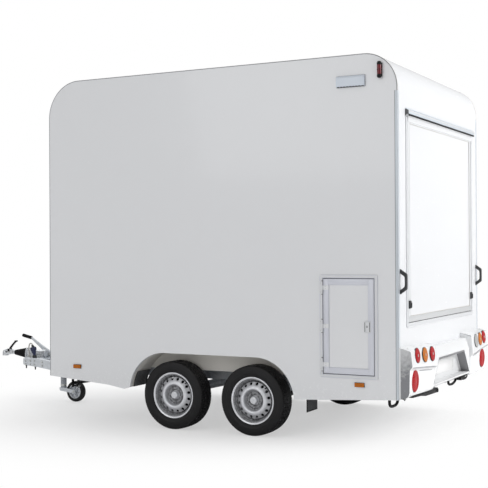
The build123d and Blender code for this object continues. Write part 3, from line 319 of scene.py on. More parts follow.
def buildGrain():  # grain, dust and worn spots for rubber, plastic and castings
    tree, given, out = addGroup("mouldedGrain", [
        ("Color", color, (0.03, 0.03, 0.03, 1)), ("Dust Color", color, (0.35, 0.33, 0.3, 1)),
        ("Dust", number, 0.12), ("Scale", number, 900.0), ("Contrast", number, 0.2)])
    place = addNode(tree, "ShaderNodeTexCoord").outputs["Object"]
    grains = addNoise(tree, place, given["Scale"], 3.0)["Fac"]
    cloud = addNoise(tree, place, 9.0, 8.0, 0.65)["Fac"]
    facing = addNode(tree, "ShaderNodeSeparateXYZ",
                     {"Vector": addNode(tree, "ShaderNodeNewGeometry").outputs["Normal"]}).outputs["Z"]
    facing = mathNode(tree, "MULTIPLY_ADD", facing, 0.5)
    facing.node.inputs[2].default_value = 0.55
    dust = mathNode(tree, "MULTIPLY", cloud, facing)
    dust = mathNode(tree, "MULTIPLY", dust, given["Dust"], clamp=True)
    tone = shaded(tree, given, grains, "Contrast")
    mixed = mixColor(tree, dust, tone, given["Dust Color"])
    rough = mathNode(tree, "MULTIPLY", cloud, 0.18)
    return endGroup(tree, out, mixed, rough, grains)


def buildZinc():  # the crystals of hot-dip galvanising, with chalky patches
    tree, given, out = addGroup("zincCrystals", [
        ("Color", color, (0.5, 0.53, 0.56, 1)), ("Chalk Color", color, (0.68, 0.69, 0.68, 1)),
        ("Chalk", number, 0.3), ("Scale", number, 70.0), ("Contrast", number, 0.5)])
    place = addNode(tree, "ShaderNodeTexCoord").outputs["Object"]
    bent = addNoise(tree, place, 26.0, 2.0)["Color"]
    bend = addNode(tree, "ShaderNodeVectorMath", {0: bent, "Scale": 0.02}, operation="SCALE")
    moved = addNode(tree, "ShaderNodeVectorMath", {0: place, 1: bend.outputs[0]}, operation="ADD")
    cells = addNode(tree, "ShaderNodeTexVoronoi", {"Vector": moved.outputs[0], "Scale": given["Scale"]})
    cell = addNode(tree, "ShaderNodeSeparateColor", {"Color": cells.outputs["Color"]}).outputs[0]
    cloud = addNoise(tree, place, 5.0, 7.0, 0.7)["Fac"]
    tone = shaded(tree, given, cell, "Contrast")
    chalk = mathNode(tree, "SUBTRACT", cloud, 0.45)
    chalk = mathNode(tree, "MULTIPLY", chalk, 5.0, clamp=True)
    chalk = mathNode(tree, "MULTIPLY", chalk, given["Chalk"])
    mixed = mixColor(tree, chalk, tone, given["Chalk Color"])
    rough = mathNode(tree, "MULTIPLY", cell, 0.16)
    rough = mathNode(tree, "ADD", rough, mathNode(tree, "MULTIPLY", chalk, 0.5))
    return endGroup(tree, out, mixed, rough, cells.outputs["Distance"])


# how dark the rim is at each distance from the axis: brake dust, and painted shade in the recesses and
# grooves
grimeAndShadeSteps = [(0.0, 0.25), (0.033, 0.15), (0.040, 0.92), (0.062, 0.70), (0.070, 0.95), (0.084, 0.50),
              (0.092, 0.08), (0.114, 0.10), (0.124, 0.42), (0.148, 0.42), (0.153, 0.95), (0.163, 0.90),
              (0.1685, 0.78), (0.1735, 0.60), (0.1775, 0.92), (0.182, 0.03)]


def buildGrimeAndShade():  # brake dust and painted shade in the grooves and recesses of the wheels, by the distance from the wheel's axis
    tree, given, out = addGroup("wheelGrimeAndShade", [("Color", color, (0.6, 0.6, 0.6, 1)),
                                               ("Grime Color", color, (0.020, 0.020, 0.022, 1)),
                                               ("Grime And Shade", number, 1.0), ("Middle", number, -0.6653),
                                               ("Half", number, 0.377), ("Axle Height", number, 0.289)])
    place = addNode(tree, "ShaderNodeTexCoord").outputs["Object"]
    parts = addNode(tree, "ShaderNodeSeparateXYZ", {"Vector": place}).outputs
    ahead = mathNode(tree, "ABSOLUTE", mathNode(tree, "SUBTRACT", parts["X"], given["Middle"]))
    ahead = mathNode(tree, "SUBTRACT", ahead, given["Half"])
    above = mathNode(tree, "SUBTRACT", parts["Z"], given["Axle Height"])
    reach = mathNode(tree, "SQRT", mathNode(tree, "ADD", mathNode(tree, "MULTIPLY", ahead, ahead),
                                            mathNode(tree, "MULTIPLY", above, above)))
    noise = addNoise(tree, place, 60.0, 5.0)["Fac"]
    ramp = addNode(tree, "ShaderNodeValToRGB", {"Fac": mathNode(tree, "MULTIPLY", reach, 5.0)})
    band = ramp.color_ramp
    for i, (at, value) in enumerate(grimeAndShadeSteps):
        stop = band.elements[i] if i < 2 else band.elements.new(at * 5.0)
        stop.position = at * 5.0
        stop.color = (value, value, value, 1)
    share = mathNode(tree, "MULTIPLY", ramp.outputs["Color"], given["Grime And Shade"])
    share = mathNode(tree, "MULTIPLY", share, mathNode(tree, "ADD", noise, 0.45), clamp=True)
    mixed = mixColor(tree, share, given["Color"], given["Grime Color"])
    return endGroup(tree, out, mixed, mathNode(tree, "MULTIPLY", share, 0.4), noise)


groups = {"film": buildFilm(), "grain": buildGrain(), "zinc": buildZinc(), "grime_and_shade": buildGrimeAndShade()}
print("stage: node groups")


def addMaterial(name, effect, values, roughness, bump, metallic=0.0, coat=0.0, coatRoughness=0.1,
                specular=0.5):
    material = bpy.data.materials.new(name)
    material.use_nodes = True
    tree = material.node_tree
    shader = tree.nodes["Principled BSDF"]
    group = addNode(tree, "ShaderNodeGroup", node_tree=groups[effect])
    for key, value in values.items():
        group.inputs[key].default_value = (*value, 1) if isinstance(value, tuple) else value
    tree.links.new(group.outputs["Color"], shader.inputs["Base Color"])
    rough = mathNode(tree, "ADD", group.outputs["Roughness"], roughness, clamp=True)
    tree.links.new(rough, shader.inputs["Roughness"])
    relief = addNode(tree, "ShaderNodeBump", {"Height": group.outputs["Height"], "Strength": bump,
                                              "Distance": 0.0004})
    tree.links.new(relief.outputs["Normal"], shader.inputs["Normal"])
    shader.inputs["Metallic"].default_value = metallic
    shader.inputs["Coat Weight"].default_value = coat
    shader.inputs["Coat Roughness"].default_value = coatRoughness
    shader.inputs["Specular IOR Level"].default_value = specular
    return material


def describe(effect, *labels):  # a function that names its settings for one of the effects
    return lambda *settings, **look: {"effect": effect, "values": dict(zip(labels, settings)), **look}


film = describe("film", "Color", "Dirt And Shade", "Dirt Height", "Patches", "Skin Scale", "Dirt Color")
grain = describe("grain", "Color", "Dust", "Scale", "Contrast", "Dust Color")
zinc = describe("zinc", "Color", "Chalk", "Scale", "Contrast")
grime_and_shade = describe("grime_and_shade", "Color", "Grime And Shade")
# Some finishes here paint light or shade: the moulding-end grey, darker towards the bottom, and the dark
# and pale linings are painted shade; the paler galvanised copy paints the light falling on the parts it
# covers; the rim's grime is partly brake dust and partly painted shade in grooves and recesses; the bluish
# strip tone paints a rounded corner's shade; the cap grey on the flap and guard ribs paints their
# highlights; the grey rubber paints the ledges' shadow and partly the roof edge's shade.
finishes = {"body_white": film((0.8, 0.81, 0.83), 0.1, 0.75, 0.02, 130.0, roughness=0.22, bump=0.03,
                               coat=0.35, coatRoughness=0.08), "vent_white": film((0.7, 0.76, 0.84), 0.1,
        0.75, 0.02, 300.0, roughness=0.3, bump=0.05), "bumper_white": film((0.82, 0.83, 0.84), 0.12, 0.8,
        0.03, 90.0, roughness=0.2, bump=0.05, coat=0.4, coatRoughness=0.08),
            "painted_end_shade": film((0.74, 0.75, 0.76), 5.0, 1.12, 0.03, 90.0, (0.26, 0.265, 0.28),
                                 roughness=0.35, bump=0.05), "painted_shade_grey": film((0.2, 0.2, 0.21), 0.3, 0.9,
        0.1, 200.0, roughness=0.5, bump=0.05), "door_trim": film((0.68, 0.695, 0.76), 0.15, 0.9, 0.04,
        500.0, roughness=0.36, bump=0.06, metallic=0.2), "hatch_trim": film((0.6, 0.61, 0.62), 0.15, 0.9,
        0.04, 500.0, roughness=0.36, bump=0.06, metallic=0.25), "blue_strip": film((0.6, 0.65, 0.7), 0.1,
        0.9, 0.04, 500.0, roughness=0.3, bump=0.06, metallic=0.2),
            "pale_seal": grain((0.52, 0.5, 0.47), 0.1, 900.0, 0.15, roughness=0.55, bump=0.2),
            "trim_aluminium": film((0.72, 0.73, 0.75), 0.15, 0.9, 0.05, 600.0, roughness=0.4, bump=0.06,
                                   metallic=0.35), "galvanised_lit": zinc((0.67, 0.7, 0.74), 0.2, 60.0,
        0.14, roughness=0.42, metallic=0.3, bump=0.12), "painted_shade_pale": film((0.52, 0.53, 0.55), 0.3, 0.9,
        0.1, 200.0, roughness=0.5, bump=0.05), "galvanised": zinc((0.36, 0.38, 0.41), 0.35, 60.0, 0.35,
        roughness=0.4, metallic=0.4, bump=0.12), "zinc_head": zinc((0.6, 0.61, 0.6), 0.12, 160.0, 0.15,
        roughness=0.28, metallic=0.9, bump=0.06), "jockey_silver": zinc((0.66, 0.68, 0.71), 0.2, 120.0, 0.3,
        roughness=0.26, metallic=0.75, bump=0.06), "rim_silver": grime_and_shade((0.9, 0.91, 0.95), 0.98,
        roughness=0.26, metallic=0.4, bump=0.04, coat=0.2), "tyre": grain((0.006, 0.006, 0.007), 0.018,
        700.0, 0.3, roughness=0.46, bump=0.25, specular=0.32), "black_rubber": grain((0.007, 0.007, 0.008),
        0.03, 900.0, 0.3, roughness=0.55, bump=0.25, specular=0.2),
            "grey_rubber": grain((0.3, 0.31, 0.33), 0.1, 900.0, 0.2, roughness=0.55, bump=0.2),
            "blue_rubber": grain((0.06, 0.07, 0.095), 0.1, 900.0, 0.2, roughness=0.55, bump=0.2),
            "cap_grey": grain((0.12, 0.125, 0.13), 0.1, 900.0, 0.2, roughness=0.45, bump=0.15),
            "black_plastic": grain((0.024, 0.025, 0.027), 0.06, 1400.0, 0.2, roughness=0.42, bump=0.2),
            "black_steel": grain((0.006, 0.006, 0.007), 0.025, 500.0, 0.3, roughness=0.45, bump=0.15,
                                 specular=0.16), "liner_grey": grain((0.78, 0.76, 0.72), 0.25, 260.0, 0.12,
        (0.3, 0.27, 0.22), roughness=0.55, bump=0.15), "lens_red": grain((0.38, 0.008, 0.012), 0.01, 300.0,
        0.1, roughness=0.24, bump=0.02, specular=0.1), "lens_dark": grain((0.14, 0.004, 0.01), 0.02, 300.0,
        0.1, roughness=0.12, bump=0.02, coat=0.3, coatRoughness=0.04, specular=0.35),
            "lens_amber": grain((0.5, 0.15, 0.02), 0.01, 300.0, 0.1, roughness=0.24, bump=0.02,
                                specular=0.1), "lens_clear": grain((0.4, 0.4, 0.39), 0.04, 300.0, 0.1,
        roughness=0.14, bump=0.02, coat=0.2, coatRoughness=0.05, specular=0.25),
            "plug_blue": grain((0.015, 0.022, 0.075), 0.08, 1200.0, 0.2, roughness=0.38, bump=0.15),
            "plate_blank": film((0.82, 0.82, 0.82), 0.02, 0.9, 0.02, 500.0, roughness=0.3, bump=0.02)}
materials = {name: addMaterial(name, **values) for name, values in finishes.items()}
for part in frame["record"]["subparts"]:
    for place in nodes[part["node"]].material_slots:
        place.material = materials[part["material_slot"]]
print("stage: materials")


# camera, light and floor
cameraSet = {"place": (-5.0102, 8.7551, 1.5275), "aim": (0.46378, -0.88594, 0.00441),
             "up": (-0.00661, 0.00151, 0.99998), "lens": 78.54}


def addCamera():
    aim, top = Vector(cameraSet["aim"]).normalized(), Vector(cameraSet["up"])
    right = aim.cross(top).normalized()
    top = right.cross(aim)
    turn = Matrix((right, top, -aim)).transposed().to_4x4()
    data = bpy.data.cameras.new("camera")
    data.lens = cameraSet["lens"]
    data.sensor_width = 36
    data.clip_end = 200
    camera = bpy.data.objects.new("camera", data)
    camera.matrix_world = Matrix.Translation(cameraSet["place"]) @ turn
    bpy.context.scene.collection.objects.link(camera)
    bpy.context.scene.camera = camera


lamps = [
    {"name": "rearLamp", "place": (-9.0, -1.6, 5.0), "aim": (-1.5, 0.0, 1.4), "size": 5.0, "power": 500},
    {"name": "sideLamp", "place": (1.5, 9.5, 5.5), "aim": (0.0, 0.6, 1.2), "size": 6.0, "power": 150},
    {"name": "roofLamp", "place": (-1.5, -1.6, 8.5), "aim": (-1.2, 0.0, 2.0), "size": 5.0, "power": 190},
    {"name": "frontLamp", "place": (7.5, -4.0, 6.0), "aim": (0.5, 0.0, 1.2), "size": 5.0, "power": 200},
]


def addLamps():
    for lamp in lamps:
        data = bpy.data.lights.new(lamp["name"], "AREA")
        data.size = lamp["size"]
        data.energy = lamp["power"]
        light = bpy.data.objects.new(lamp["name"], data)
        run = Vector(lamp["aim"]) - Vector(lamp["place"])
        turn = run.to_track_quat("-Z", "Y").to_matrix().to_4x4()
        light.matrix_world = Matrix.Translation(lamp["place"]) @ turn
        bpy.context.scene.collection.objects.link(light)


def addWorld():
    world = bpy.data.worlds.new("studio")
    bpy.context.scene.world = world
    world.use_nodes = True
    tree = world.node_tree
    tree.nodes.clear()
    seen = addNode(tree, "ShaderNodeLightPath")
    direct = mathNode(tree, "MAXIMUM", seen.outputs["Is Camera Ray"], seen.outputs["Is Transmission Ray"])
    soft = addNode(tree, "ShaderNodeBackground", {"Color": (1, 1, 1, 1), "Strength": 0.49})
    white = addNode(tree, "ShaderNodeBackground", {"Color": (1, 1, 1, 1), "Strength": 1.0})
    mix = addNode(tree, "ShaderNodeMixShader", {0: direct, 1: soft.outputs[0], 2: white.outputs[0]})
    addNode(tree, "ShaderNodeOutputWorld", {"Surface": mix.outputs[0]})


floorSet = {"size": 60.0, "near": 1.2, "far": 3.0, "color": (0.90, 0.90, 0.90, 1)}


def addFloor():
    bm = bmesh.new()
    bmesh.ops.create_grid(bm, x_segments=1, y_segments=1, size=floorSet["size"] / 2)
    mesh = bpy.data.meshes.new("floor")
    bm.to_mesh(mesh)
    bm.free()
    floor = bpy.data.objects.new("floor", mesh)
    bpy.context.scene.collection.objects.link(floor)
    material = bpy.data.materials.new("floor")
    material.use_nodes = True
    tree = material.node_tree
    tree.nodes.clear()
    place = addNode(tree, "ShaderNodeTexCoord").outputs["Object"]
    reach = addNode(tree, "ShaderNodeVectorMath", {0: place}, operation="LENGTH").outputs["Value"]
    fade = addNode(tree, "ShaderNodeMapRange", {"Value": reach, "From Min": floorSet["near"],
                                                "From Max": floorSet["far"]},
                   interpolation_type="SMOOTHSTEP")
    seen = addNode(tree, "ShaderNodeLightPath").outputs["Is Camera Ray"]
    share = mathNode(tree, "MULTIPLY_ADD", fade.outputs[0], 0.50)
    share.node.inputs[2].default_value = 0.50
    share = mathNode(tree, "MULTIPLY", share, seen)
    matte = addNode(tree, "ShaderNodeBsdfDiffuse", {"Color": floorSet["color"]})
    glow = addNode(tree, "ShaderNodeEmission", {"Color": (1, 1, 1, 1), "Strength": 1.0})
    mix = addNode(tree, "ShaderNodeMixShader", {0: share, 1: matte.outputs[0], 2: glow.outputs[0]})
    addNode(tree, "ShaderNodeOutputMaterial", {"Surface": mix.outputs[0]})
    floor.data.materials.append(material)


addCamera()
addLamps()
addWorld()
addFloor()
bpy.context.scene.view_settings.view_transform = "Standard"
print("stage: camera, light and floor")

# wheels
tyreSet = {"radius": 0.289, "seat": (0.069, 0.180), "steps": 300, "slotEvery": 5,
           "grooves": (-0.041, -0.0135, 0.0135, 0.041), "grooveHalf": 0.0042, "grooveDepth": 0.0075,
           "crownDrop": 0.0024, "slotDepth": 0.0055, "sipeDepth": 0.004,
           "wall": [(0.0745, 0.190), (0.0805, 0.1985), (0.0868, 0.206), (0.0872, 0.2095), (0.0878, 0.2115),
                    (0.0893, 0.2135), (0.0912, 0.224), (0.0922, 0.2255), (0.0916, 0.2270), (0.0925, 0.236),
                    (0.0924, 0.246), (0.0921, 0.2475), (0.0914, 0.2490), (0.0908, 0.2565), (0.0902, 0.2620),
                    (0.0896, 0.2635), (0.0880, 0.2660), (0.0862, 0.2730), (0.0838, 0.2792),
                    (0.0796, 0.2833)], "ribHalf": 0.0135, "shoulders": (0.0745, 0.061, 0.0505)}


def drawTyre():
    s = tyreSet
    radius = s["radius"]

    def crown(y):
        return radius - s["crownDrop"] * (y / 0.07) ** 2

    side = [s["seat"]] + s["wall"]
    tread = [(y, crown(y)) for y in s["shoulders"]]
    for y in reversed(s["grooves"]):
        w, top = s["grooveHalf"], crown(y)
        tread += [(y + w, top), (y + w - 0.001, top - s["grooveDepth"]),
                  (y - w + 0.001, top - s["grooveDepth"]), (y - w, top)]
        end = y - s["ribHalf"] if y > s["grooves"][0] else -s["shoulders"][2]
        tread.append((end, crown(end)))
    tread += [(-y, crown(y)) for y in reversed(s["shoulders"][:2])]
    profile = side + tread + [(-y, r) for y, r in reversed(side)]
    bm = bmesh.new()
    addSpin(bm, profile, (0, 0, 0), (0, 0, 1), s["steps"])
    bmesh.ops.remove_doubles(bm, verts=bm.verts[:], dist=1e-6)
    bmesh.ops.recalc_face_normals(bm, faces=bm.faces[:])
    slots, sipes = [], []
    for face in bm.faces:
        middleOf = face.calc_center_median()
        reach = math.hypot(middleOf.x, middleOf.y)
        step = int((math.atan2(middleOf.y, middleOf.x) % math.tau) / math.tau * s["steps"])
        y = middleOf.z
        if reach < 0.276 or abs(face.normal.z) > 0.9:
            continue
        if abs(y) > 0.047 and reach > 0.2768 and (step + (2 if y > 0 else 0)) % s["slotEvery"] == 0:
            slots.append(face)
        elif abs(y) < 0.036 and reach > 0.285 and step % s["slotEvery"] == (1 if abs(y) < 0.009 else 3):
            sipes.append(face)
    bmesh.ops.inset_region(bm, faces=slots, thickness=0.0009, depth=-s["slotDepth"], use_even_offset=True)
    bmesh.ops.inset_region(bm, faces=sipes, thickness=0.0020, depth=-s["sipeDepth"], use_even_offset=True)
    return bm


rimSet = {"steps": 160, "holes": 16, "holeRadius": 0.0128, "holeCircle": 0.137, "bandInner": 0.1165,
          "bandOuter": 0.1520, "bandLow": 0.0362, "bandHigh": 0.0588, "bolts": 5, "boltCircle": 0.056,
          "boltFoot": 0.0335, "bearing": 0.0301, "barrel": [(-0.0700, 0.1780), (-0.0690, 0.1900),
                                                            (-0.0725, 0.1950), (-0.0765, 0.1930),
                                                            (-0.0755, 0.1850), (-0.0690, 0.1760),
                                                            (-0.0500, 0.1725), (-0.0380, 0.1700),
                                                            (-0.0250, 0.1490), (0.0250, 0.1490),
                                                            (0.0360, 0.1665), (0.0405, 0.1700),
                                                            (0.0455, 0.1690), (0.0500, 0.1712),
                                                            (0.0605, 0.1722), (0.0632, 0.1742),
                                                            (0.0640, 0.1765), (0.0668, 0.1768),
                                                            (0.0700, 0.1800), (0.0752, 0.1862),
                                                            (0.0772, 0.1922), (0.0752, 0.1955),
                                                            (0.0705, 0.1950), (0.0688, 0.1880),
                                                            (0.0690, 0.1782)],
          "seat": [(0.0180, 0.1486), (0.0270, 0.1488), (0.0330, 0.1508), (0.0358, 0.1526)],
          "dish": [(0.0618, 0.1118), (0.0650, 0.1075), (0.0658, 0.1020), (0.0650, 0.0962), (0.0622, 0.0915),
                   (0.0575, 0.0885), (0.0455, 0.0845), (0.0345, 0.0800), (0.0306, 0.0745), (0.0301, 0.0690),
                   (0.0306, 0.0665), (0.0338, 0.0640), (0.0342, 0.0610), (0.0342, 0.0500), (0.0338, 0.0475),
                   (0.0306, 0.0450)], "cap": [(0.0280, 0.0345), (0.0330, 0.0345), (0.0345, 0.0325),
                                              (0.0372, 0.0318), (0.0560, 0.0306), (0.0612, 0.0276),
                                              (0.0632, 0.0232), (0.0636, 0.0165), (0.0622, 0.0158),
                                              (0.0622, 0.0)], "boltSeat": [(0, 0.0135), (0.0022, 0.0128),
        (0.0032, 0.0105), (0.0032, 0.0)], "boltEnd": [(0.012, 0.0068), (0.0142, 0.0060), (0.0148, 0.0)],
          "drum": [(0.0262, 0.0), (0.0262, 0.060), (0.0250, 0.135), (0.0225, 0.1425), (-0.0300, 0.1445),
                   (-0.0345, 0.1410), (-0.0345, 0.0)]}


def drawRim():
    s = rimSet
    bm = bmesh.new()
    origin, axis = (0, 0, 0), (0, 0, 1)
    addSpin(bm, soften(s["barrel"], 0.25, 2), origin, axis, s["steps"])
    addSpin(bm, s["seat"] + [(s["bandLow"], s["bandOuter"])], origin, axis, s["steps"])
    centre = [(s["bandHigh"], s["bandInner"])] + s["dish"] + [(s["bearing"], 0.0420),
                                                              (s["bearing"], 0.0290)]
    addSpin(bm, soften(centre, 0.3, 2), origin, axis, s["steps"])
    band = bmesh.new()  # the pierced band of the disc, drawn flat and then bent to the cone
    rings = [bmesh.ops.create_circle(band, radius=s[key], segments=s["steps"])["verts"]
             for key in ("bandInner", "bandOuter")]
    for i in range(s["holes"]):
        angle = math.tau * (i + 0.5) / s["holes"]
        middleOf = (s["holeCircle"] * math.cos(angle), s["holeCircle"] * math.sin(angle), 0)
        rings.append(bmesh.ops.create_circle(band, radius=s["holeRadius"], segments=28,
                                             matrix=Matrix.Translation(middleOf))["verts"])
    holes = [e for ring in rings[2:] for e in {e for v in ring for e in v.link_edges}]
    bmesh.ops.triangle_fill(band, edges=band.edges[:], use_beauty=True)
    spare = [f for f in band.faces if f.calc_center_median().length < s["bandInner"] * 0.98]
    bmesh.ops.delete(band, geom=spare, context="FACES_ONLY")
    holes = [e for e in holes if e.is_valid]
    for depth, shrink in ((0.0016, 0.93), (0.0060, 0.99)):
        made = bmesh.ops.extrude_edge_only(band, edges=holes)["geom"]
        verts = [v for v in made if isinstance(v, bmesh.types.BMVert)]
        holes = [e for e in made if isinstance(e, bmesh.types.BMEdge) and e.verts[0] in verts
                 and e.verts[1] in verts]
        for v in verts:
            angle = (round((math.atan2(v.co.y, v.co.x) % math.tau) / math.tau * s["holes"] - 0.5)
                     + 0.5) * math.tau / s["holes"]
            middleOf = Vector((s["holeCircle"] * math.cos(angle), s["holeCircle"] * math.sin(angle),
                               v.co.z))
            v.co = middleOf + (v.co - middleOf) * shrink
            v.co.z -= depth
    for v in band.verts:
        reach = math.hypot(v.co.x, v.co.y)
        share = (reach - s["bandInner"]) / (s["bandOuter"] - s["bandInner"])
        v.co.z += s["bandHigh"] + (s["bandLow"] - s["bandHigh"]) * share
    mesh = bpy.data.meshes.new("spare")
    band.to_mesh(mesh)
    bm.from_mesh(mesh)
    bpy.data.meshes.remove(mesh)
    for i in range(s["bolts"]):
        angle = math.tau * (i + 0.25) / s["bolts"]
        foot = Vector((s["boltCircle"] * math.cos(angle), s["boltCircle"] * math.sin(angle), s["boltFoot"]))
        addSpin(bm, s["boltSeat"], foot, up, 20)
        addHex(bm, foot + up * 0.0025, up, 0.0185, 0.0105)
        addSpin(bm, s["boltEnd"], foot, up, 20)
    addSpin(bm, soften(s["cap"], 0.25, 2), origin, axis, 72)
    return bm


def addWheels():
    tyre, rim = drawTyre(), drawRim()
    for end in ("rear", "front"):
        for side, sign in sides:
            place = standOn(middle(f"tyre_{end}_{side}"), (0, sign, 0))
            addPiece(f"road_tyre_{end}_{side}", turned(copied(tyre), place), "tyre", f"wheel_{end}_{side}",
                     angle=32, replaced=f"tyre_{end}_{side}")
            addPiece(f"steel_rim_{end}_{side}", turned(copied(rim), place), "rim_silver",
                     f"wheel_{end}_{side}", angle=38, replaced=f"rim_{end}_{side}")
            bm = bmesh.new()
            addSpin(bm, rimSet["drum"], (0, 0, 0), (0, 0, 1), 72)
            addPiece(f"brake_drum_{end}_{side}", turned(bm, place), "black_steel", f"wheel_{end}_{side}")
            bm = bmesh.new()
            valve = place @ Vector((-0.118, -0.112, 0.033))
            out = (place.to_3x3() @ Vector((0.35, 0.33, 0.88))).normalized()
            addRod(bm, valve, valve + out * 0.022, 0.0055, 0.0042, 16, 0.0008)
            addRod(bm, valve + out * 0.021, valve + out * 0.031, 0.0046, 0.0044, 16, 0.0009)
            addPiece(f"tyre_valve_{end}_{side}", bm, "black_rubber", f"wheel_{end}_{side}")


addWheels()
print("stage: wheels")

# body: edge profiles, seams, hatches, doors and what is screwed to the walls
bodySet = {"rear": -2.3153, "front": 0.9647, "side": 1.1, "roof": 3.02, "rearRadius": 0.27,
           "frontRadius": 0.32, "rearFoot": 0.377, "frontFoot": 0.400}


def outline(inset=0.0):  # the side wall's outline over the roof, inset towards its middle
    b = bodySet
    rear, front, roof = b["rear"] + inset, b["front"] - inset, b["roof"] - inset
    rearR, frontR = b["rearRadius"] - inset, b["frontRadius"] - inset
    line = [(rear, b["rearFoot"])] + [(rear, 0.8 + 0.45 * i) for i in range(4)]
    line += arc((rear + rearR, roof - rearR), rearR, 180, 90, 24)
    line += [(-1.4 + 0.6 * i, roof) for i in range(3)]
    line += arc((front - frontR, roof - frontR), frontR, 90, 0, 24)
    return line + [(front, 2.2 - 0.45 * i) for i in range(4)] + [(front, b["frontFoot"])]


edgeSet = {"seal": 0.0052, "rise": 0.0015, "strip": 0.019, "stripTop": 2.72, "proud": 0.0014}


def addBodyEdges():
    e = edgeSet
    half, rise, y = e["seal"] / 2, e["rise"], bodySet["side"]
    bead = [(-0.0008, -half), (rise * 0.6, -half), (rise, 0.0), (rise * 0.6, half), (-0.0008, half)]
    rear = bodySet["rear"]
    for side, sign in sides:
        bm = bmesh.new()
        # a grey sealant bead along the side wall's edge; its dark grey also paints the shade of the rounded
        # edge
        addSweep(bm, [(x, sign * y, z) for x, z in outline(half + 0.0006)], bead, (0, sign, 0))
        addBox(bm, (rear + e["strip"], sign * (y - 0.0003), bodySet["rearFoot"] + 0.002),
               (rear + e["strip"] + 0.0042, sign * (y + e["proud"] + 0.0006), e["stripTop"]), 0.0012)
        addPiece(f"edge_bead_and_shade_{side}", bm, "grey_rubber", angle=60)
        # an edge profile round the rear corner whose bluish tone paints the shade of the rounded corner
        bm = bmesh.new()
        addBox(bm, (rear - e["proud"], sign * (y - 0.0003), bodySet["rearFoot"] + 0.002),
               (rear + e["strip"], sign * (y + e["proud"]), e["stripTop"] - 0.001), 0.0012)
        addBox(bm, (rear - e["proud"], sign * (y - 0.030), bodySet["rearFoot"] + 0.002),
               (rear + 0.0003, sign * (y + e["proud"]), e["stripTop"] - 0.001), 0.0012)
        addPiece(f"corner_strip_and_shade_{side}", bm, "blue_strip")
        bm = bmesh.new()
        addSweep(bm, [(x, sign * (y - half - 0.001), z) for x, z in outline()],
                 [(b, a * sign) for a, b in bead], (0, sign, 0))
        addPiece(f"roof_seal_{side}", bm, "pale_seal", angle=60)


# a picture frame on the plane X = 0
def addBars(bm, lowY, highY, lowZ, highZ, width, lowX, highX, bevel=0.0008):
    addBox(bm, (lowX, lowY, lowZ), (highX, lowY + width, highZ), bevel)
    addBox(bm, (lowX, highY - width, lowZ), (highX, highY, highZ), bevel)
    addBox(bm, (lowX, lowY + width, lowZ), (highX, highY - width, lowZ + width), bevel)
    addBox(bm, (lowX, lowY + width, highZ - width), (highX, highY - width, highZ), bevel)


def addScrew(bm, center, axis, radius=0.004, rise=0.0018):
    addSpin(bm, [(-0.0004, radius), (rise * 0.6, radius * 0.92), (rise, radius * 0.6),
                 (rise, radius * 0.35), (rise * 0.4, radius * 0.3), (rise * 0.4, 0.0)], center, axis, 16)


hatchSet = {"low": 0.945, "high": 2.545, "gap": 0.006, "border": 0.045, "leafProud": 0.004, "band": 0.034,
            "trimProud": 0.006, "railHeight": 0.052, "railDepth": 0.027, "latch": (0.040, 0.061, 0.014),
            "latchAbove": 0.113}
hatches = [{"name": "rear", "width": 1.772, "body": "rear_hatch_flap",
            "place": Matrix.Translation((bodySet["rear"], 0, 0))},
           {"name": "serving", "width": 2.660, "body": "serving_hatch_flap",
            "place": Matrix.Translation((bodySet["rear"] + 1.65, -bodySet["side"],
                                         0)) @ Matrix.Rotation(math.radians(90), 4, "Z")}]


